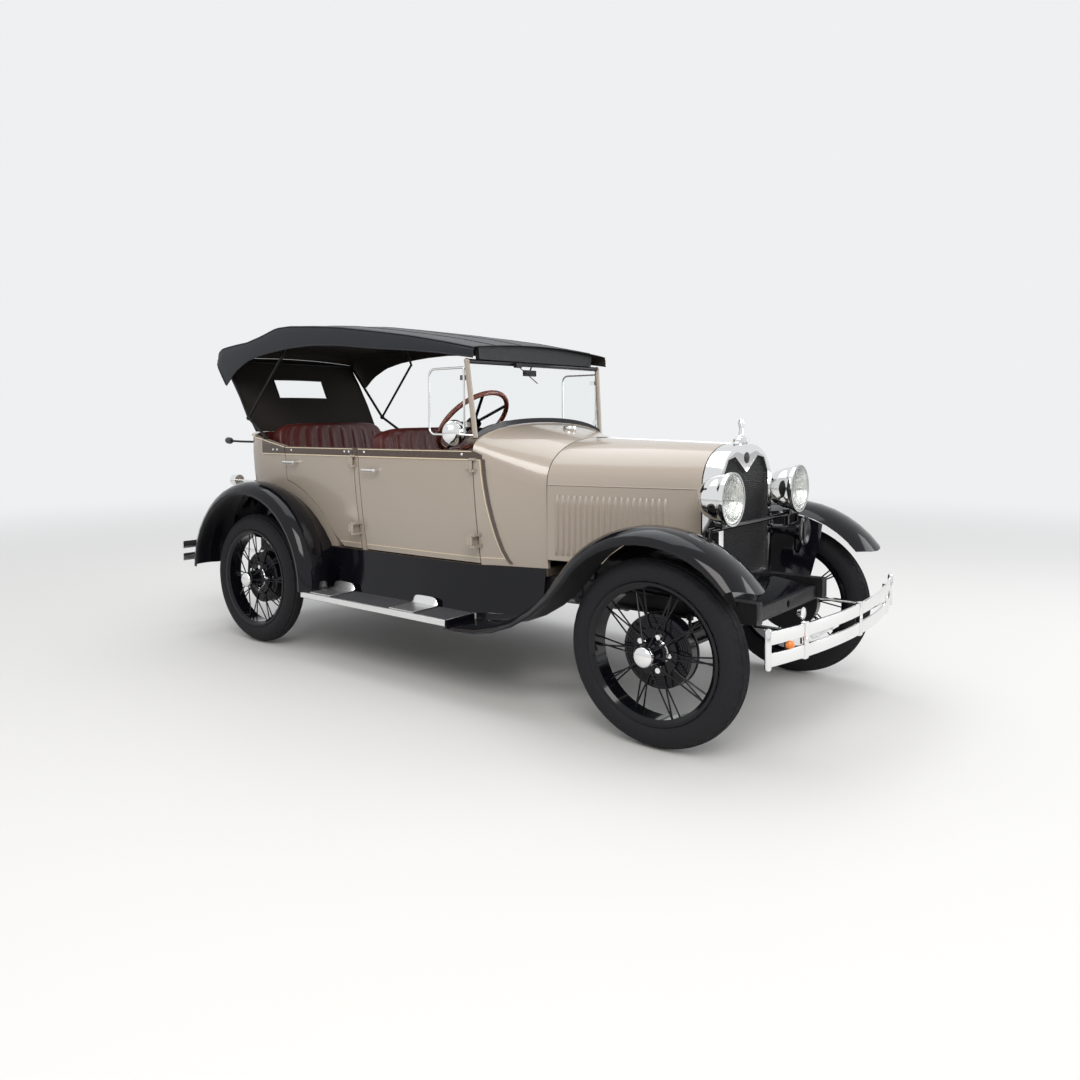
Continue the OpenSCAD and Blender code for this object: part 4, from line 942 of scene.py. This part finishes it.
paint("windscreen_glass", CHROME, wing_bracket)
WING_X = (-1341, -1108)
WING_Z = (1241, 1569)
WING_Y = 589.5
WING_ROUND, WING_TIGHT = 36, 6
WING_CORNERS = ((WING_X[1] - WING_TIGHT, WING_Z[1] - WING_TIGHT, WING_TIGHT, 0),
                (WING_X[0] + WING_ROUND, WING_Z[1] - WING_ROUND, WING_ROUND, 90),
                (WING_X[0] + WING_ROUND, WING_Z[0] + WING_ROUND, WING_ROUND, 180),
                (WING_X[1] - WING_TIGHT, WING_Z[0] + WING_TIGHT, WING_TIGHT, 270))
for side, s in SIDES:
    loop = []
    for cx, cz, r, start in WING_CORNERS:
        turns = [math.radians(a) for a in span(start, start + 90, 6)]
        loop += [(cx + r * math.cos(a), s * WING_Y, cz + r * math.sin(a)) for a in turns]
    tube(f"wing rim {side}", loop + [loop[0]], 5.5, CHROME, "chassis", 10)
MIRROR_AT = (-1128, -622, 1249)
MIRROR_AXIS = (-0.9, 0.42, 0.05)
MIRROR_BOWL = [(0.01, -4), (24, 0), (44, 10), (57, 22), (63, 28), (64, 33), (60, 35), (56, 31), (0.01, 30)]
lathe("door mirror", MIRROR_BOWL, MIRROR_AT, MIRROR_AXIS, CHROME, "chassis", 48)
lathe("door mirror glass", [(57, 32.5), (0.01, 32)], MIRROR_AT, MIRROR_AXIS, MIRROR, "chassis", 48)
tube("mirror arm", [(-1134, -618, 1249), (-1112, -600, 1241), (-1066, -572, 1238)], 5, CHROME, "chassis", 10)
wiper = [(screen_at(1590) + 10, -192, 1592), (screen_at(1545) + 9, -110, 1548),
         (screen_at(1505) + 7, -24, 1503)]
tube("wiper arm", wiper, 2.6, SATIN, "chassis", 8)
x = screen_at(1590)
block("wiper box", (x + 4, -220, 1580), (x + 26, -170, 1606), SATIN, "chassis", 4)
x = screen_at(1560)
block("inside mirror", (x - 34, -95, 1542), (x - 22, 15, 1574), SATIN, "chassis", 4)
stem = [(x - 26, -40, 1570), (screen_at(1590) - 12, -40, 1592)]
tube("inside mirror stem", stem, 4, SATIN, "chassis", 8)
FILLER_X = -889
filler = [(0.01, 18.4), (20, 18.4), (33, 17), (35, 12), (35, 2), (33, 0)]
lathe("filler cap rim", filler, (FILLER_X, 0, cowl_crown(FILLER_X)), (0, 0, 1), CHROME, "chassis", 40)


# Bumper fittings, lamps, top rests, badge
BUMPER_X = 555
BUMPER_RADIUS = 3130
BUMPER_Z = 473
BUMPER_END = [(0.01, -8), (9, -5), (12, 2), (12, 138), (9, 146), (0.01, 149)]
TAIL_LENS = [(31, 0), (30, 4), (20, 9), (0.01, 11)]
BULB = [(0.01, 8), (6, 6), (9, 0), (7, -6), (6, -22)]
REST_PAD = [(0.01, -6), (16, -4), (21, 8), (21, 34), (16, 46), (0.01, 48)]
BOLT = [(15, -1), (14, 5), (8, 9), (0.01, 10)]
AMBER_LAMP = [(17, -6), (17, 4), (13, 13), (6, 18), (0.01, 19)]
ROUND_LAMP = [(0.01, -24), (12, -20), (22, -4), (24, 0), (22, 3), (0.01, 6)]
AHEAD, BEHIND, UPWARD = (1, 0, 0), (-1, 0, 0), (0, 0, 1)


def bumper_x(y):
    return BUMPER_X - BUMPER_RADIUS + math.sqrt(BUMPER_RADIUS ** 2 - y * y)


for side, s in SIDES:
    y = s * 737
    lathe(f"bumper end {side}", BUMPER_END, (bumper_x(y) - 4, y, 403), UPWARD, CHROME, "chassis", 24)
    lathe(f"tail lens {side}", TAIL_LENS, (TAIL_X + 72.9 - 227, s * 538, 936), BEHIND, RED, "chassis", 32)
    lathe(f"bulb {side}", BULB, (148, s * 366, 975), AHEAD, CHROME, "chassis", 16)
    stalk = [(TAIL_X + 70, s * 540, 1186), (TAIL_X - 60, s * 546, 1187), (TAIL_X - 170, s * 552, 1190)]
    tube(f"top rest {side}", stalk, 7, SATIN, "chassis", 12)
    pad_at = (TAIL_X - 165, s * 552, 1190)
    lathe(f"top rest pad {side}", REST_PAD, pad_at, (-1, 0, 0.1), RUBBER, "chassis", 24)
for y in (-500, 0, 500):
    lathe(f"bumper bolt {y}", BOLT, (bumper_x(y) - 5, y, BUMPER_Z), AHEAD, CHROME, "chassis", 24)
y = -605
x = bumper_x(y)
lathe("amber lamp", AMBER_LAMP, (x - 6, y, BUMPER_Z), (1, -0.2, 0), AMBER, "chassis", 28)
block("amber bracket", (x - 24, y - 8, 452), (x - 11, y + 8, 494), SATIN, "chassis", 1.5)
y = -470
x = bumper_x(y)
lathe("round lamp", ROUND_LAMP, (x - 30, y, 566), AHEAD, CHROME, "chassis", 28)
tube("round lamp stem", [(x - 34, y, 534), (x - 34, y, 548)], 5, SATIN, "chassis", 10)
lathe("blank badge", [(26, -1), (25, 2), (0.01, 3)], (62, 0, 1132), AHEAD, BLACK, "chassis", 32)

# Dashboard with plain dials
block("dash panel", (DOOR_X - 62, -330, 1130), (DOOR_X - 54, 330, 1240), BROWN, "chassis", 5)
DIAL = [(34, 0), (34, 5), (30, 7), (29, 4), (0.01, 4)]
for k, y in enumerate((-90, 0, 90)):
    lathe(f"dial {k}", DIAL, (DOOR_X - 62, y, 1185), BEHIND, ALU, "chassis", 32)


# Camera from the fitted view
CAMERA = (3.14648, -3.85048, 1.31587)
YAW, PITCH, ROLL = 0.74051454, 0.04546576, -0.00910439
FOCAL, CENTRE = 880.978, (441.528, 459.615)
IMAGE = 1080
SENSOR = 36.0
back_dir = Vector((math.sin(YAW) * math.cos(PITCH), -math.cos(YAW) * math.cos(PITCH), math.sin(PITCH)))
right_dir = (-back_dir).cross(Vector((0, 0, 1))).normalized()
up_dir = right_dir.cross(-back_dir)
right_roll = right_dir * math.cos(ROLL) + up_dir * math.sin(ROLL)
up_roll = up_dir * math.cos(ROLL) - right_dir * math.sin(ROLL)
data = bpy.data.cameras.new("view")
data.sensor_width = SENSOR
data.lens = FOCAL / IMAGE * SENSOR
data.shift_x = (IMAGE / 2 - CENTRE[0]) / IMAGE
data.shift_y = (CENTRE[1] - IMAGE / 2) / IMAGE
camera = bpy.data.objects.new("view", data)
bpy.context.scene.collection.objects.link(camera)
camera.matrix_world = Matrix((
    (right_roll.x, up_roll.x, back_dir.x, CAMERA[0]),
    (right_roll.y, up_roll.y, back_dir.y, CAMERA[1]),
    (right_roll.z, up_roll.z, back_dir.z, CAMERA[2]),
    (0, 0, 0, 1)))
bpy.context.scene.camera = camera

# Floor and light
PALE = (0.86, 0.87, 0.88, 1)
floor_mat, tree, shader = principled("studio floor")
shader.inputs["Base Color"].default_value = (0.62, 0.61, 0.59, 1)
shader.inputs["Roughness"].default_value = 0.7
noise_bump(tree, shader, 8, 0.05, 0.002)
# Far off, the floor takes the background's colour for the camera, also through glass
where = tree.nodes.new("ShaderNodeNewGeometry")
reach = tree.nodes.new("ShaderNodeVectorMath")
reach.operation = "LENGTH"
fade = tree.nodes.new("ShaderNodeMapRange")
fade.interpolation_type = "SMOOTHSTEP"
fade.inputs["From Min"].default_value = 3.0
fade.inputs["From Max"].default_value = 12.0
floor_path = tree.nodes.new("ShaderNodeLightPath")
rays = floor_path.outputs
direct = math_node(tree, "MAXIMUM", rays["Is Camera Ray"], rays["Is Transmission Ray"])
share = math_node(tree, "MULTIPLY", direct, fade.outputs["Result"])
far_color = tree.nodes.new("ShaderNodeEmission")
far_color.inputs["Color"].default_value = PALE
blend = tree.nodes.new("ShaderNodeMixShader")
tree.links.new(where.outputs["Position"], reach.inputs[0])
tree.links.new(reach.outputs["Value"], fade.inputs["Value"])
tree.links.new(share, blend.inputs["Fac"])
tree.links.new(shader.outputs["BSDF"], blend.inputs[1])
tree.links.new(far_color.outputs["Emission"], blend.inputs[2])
tree.links.new(blend.outputs["Shader"], tree.nodes["Material Output"].inputs["Surface"])
floor_mesh = bpy.data.meshes.new("studio floor")
corners = [(x, y, -0.002) for x, y in ((-30, -30), (30, -30), (30, 30), (-30, 30))]
floor_mesh.from_pydata(corners, [], [(0, 1, 2, 3)])
floor_mesh.materials.append(floor_mat)
floor = bpy.data.objects.new("studio floor", floor_mesh)
bpy.context.scene.collection.objects.link(floor)
# The world lights softly from above, and shows a pale background to the camera, metal and glass
world_light = bpy.data.worlds.new("studio")
world_light.use_nodes = True
sky = world_light.node_tree
coords = sky.nodes.new("ShaderNodeTexCoord")
split_z = sky.nodes.new("ShaderNodeSeparateXYZ")
ramp = sky.nodes.new("ShaderNodeValToRGB")
ramp.color_ramp.elements[0].position = 0.05
ramp.color_ramp.elements[0].color = (0.5, 0.51, 0.52, 1)
ramp.color_ramp.elements[1].position = 0.7
ramp.color_ramp.elements[1].color = (0.9, 0.92, 0.95, 1)
path = sky.nodes.new("ShaderNodeLightPath")
seen = sky.nodes.new("ShaderNodeMixRGB")
seen.inputs["Color2"].default_value = PALE
sky.links.new(coords.outputs["Generated"], split_z.inputs["Vector"])
sky.links.new(split_z.outputs["Z"], ramp.inputs["Fac"])
seen_by = path.outputs["Is Camera Ray"]
for kind in ("Is Glossy Ray", "Is Transmission Ray"):
    seen_by = math_node(sky, "MAXIMUM", seen_by, path.outputs[kind])
sky.links.new(seen_by, seen.inputs["Fac"])
sky.links.new(ramp.outputs["Color"], seen.inputs["Color1"])
sky.links.new(seen.outputs["Color"], sky.nodes["Background"].inputs["Color"])
sky.nodes["Background"].inputs["Strength"].default_value = 1.0
bpy.context.scene.world = world_light


def lamp(name, place, aim, size, power, color):
    light = bpy.data.lights.new(name, "AREA")
    light.size = size
    light.energy = power
    light.color = color
    obj = bpy.data.objects.new(name, light)
    bpy.context.scene.collection.objects.link(obj)
    obj.location = place
    obj.rotation_euler = (Vector(aim) - Vector(place)).to_track_quat("-Z", "Y").to_euler()
    return obj


AIM = (0, 0, 0.8)
WARM, COOL = (1.0, 0.97, 0.93), (0.95, 0.97, 1.0)
lamp("key", (4.5, -5.5, 6.0), AIM, 4.0, 360, WARM)
lamp("top light", (-1.0, 0.5, 7.0), AIM, 6.0, 220, COOL)
lamp("fill", (6.0, 4.0, 3.0), AIM, 4.0, 160, COOL)

view = bpy.context.scene.view_settings
view.view_transform = "Standard"
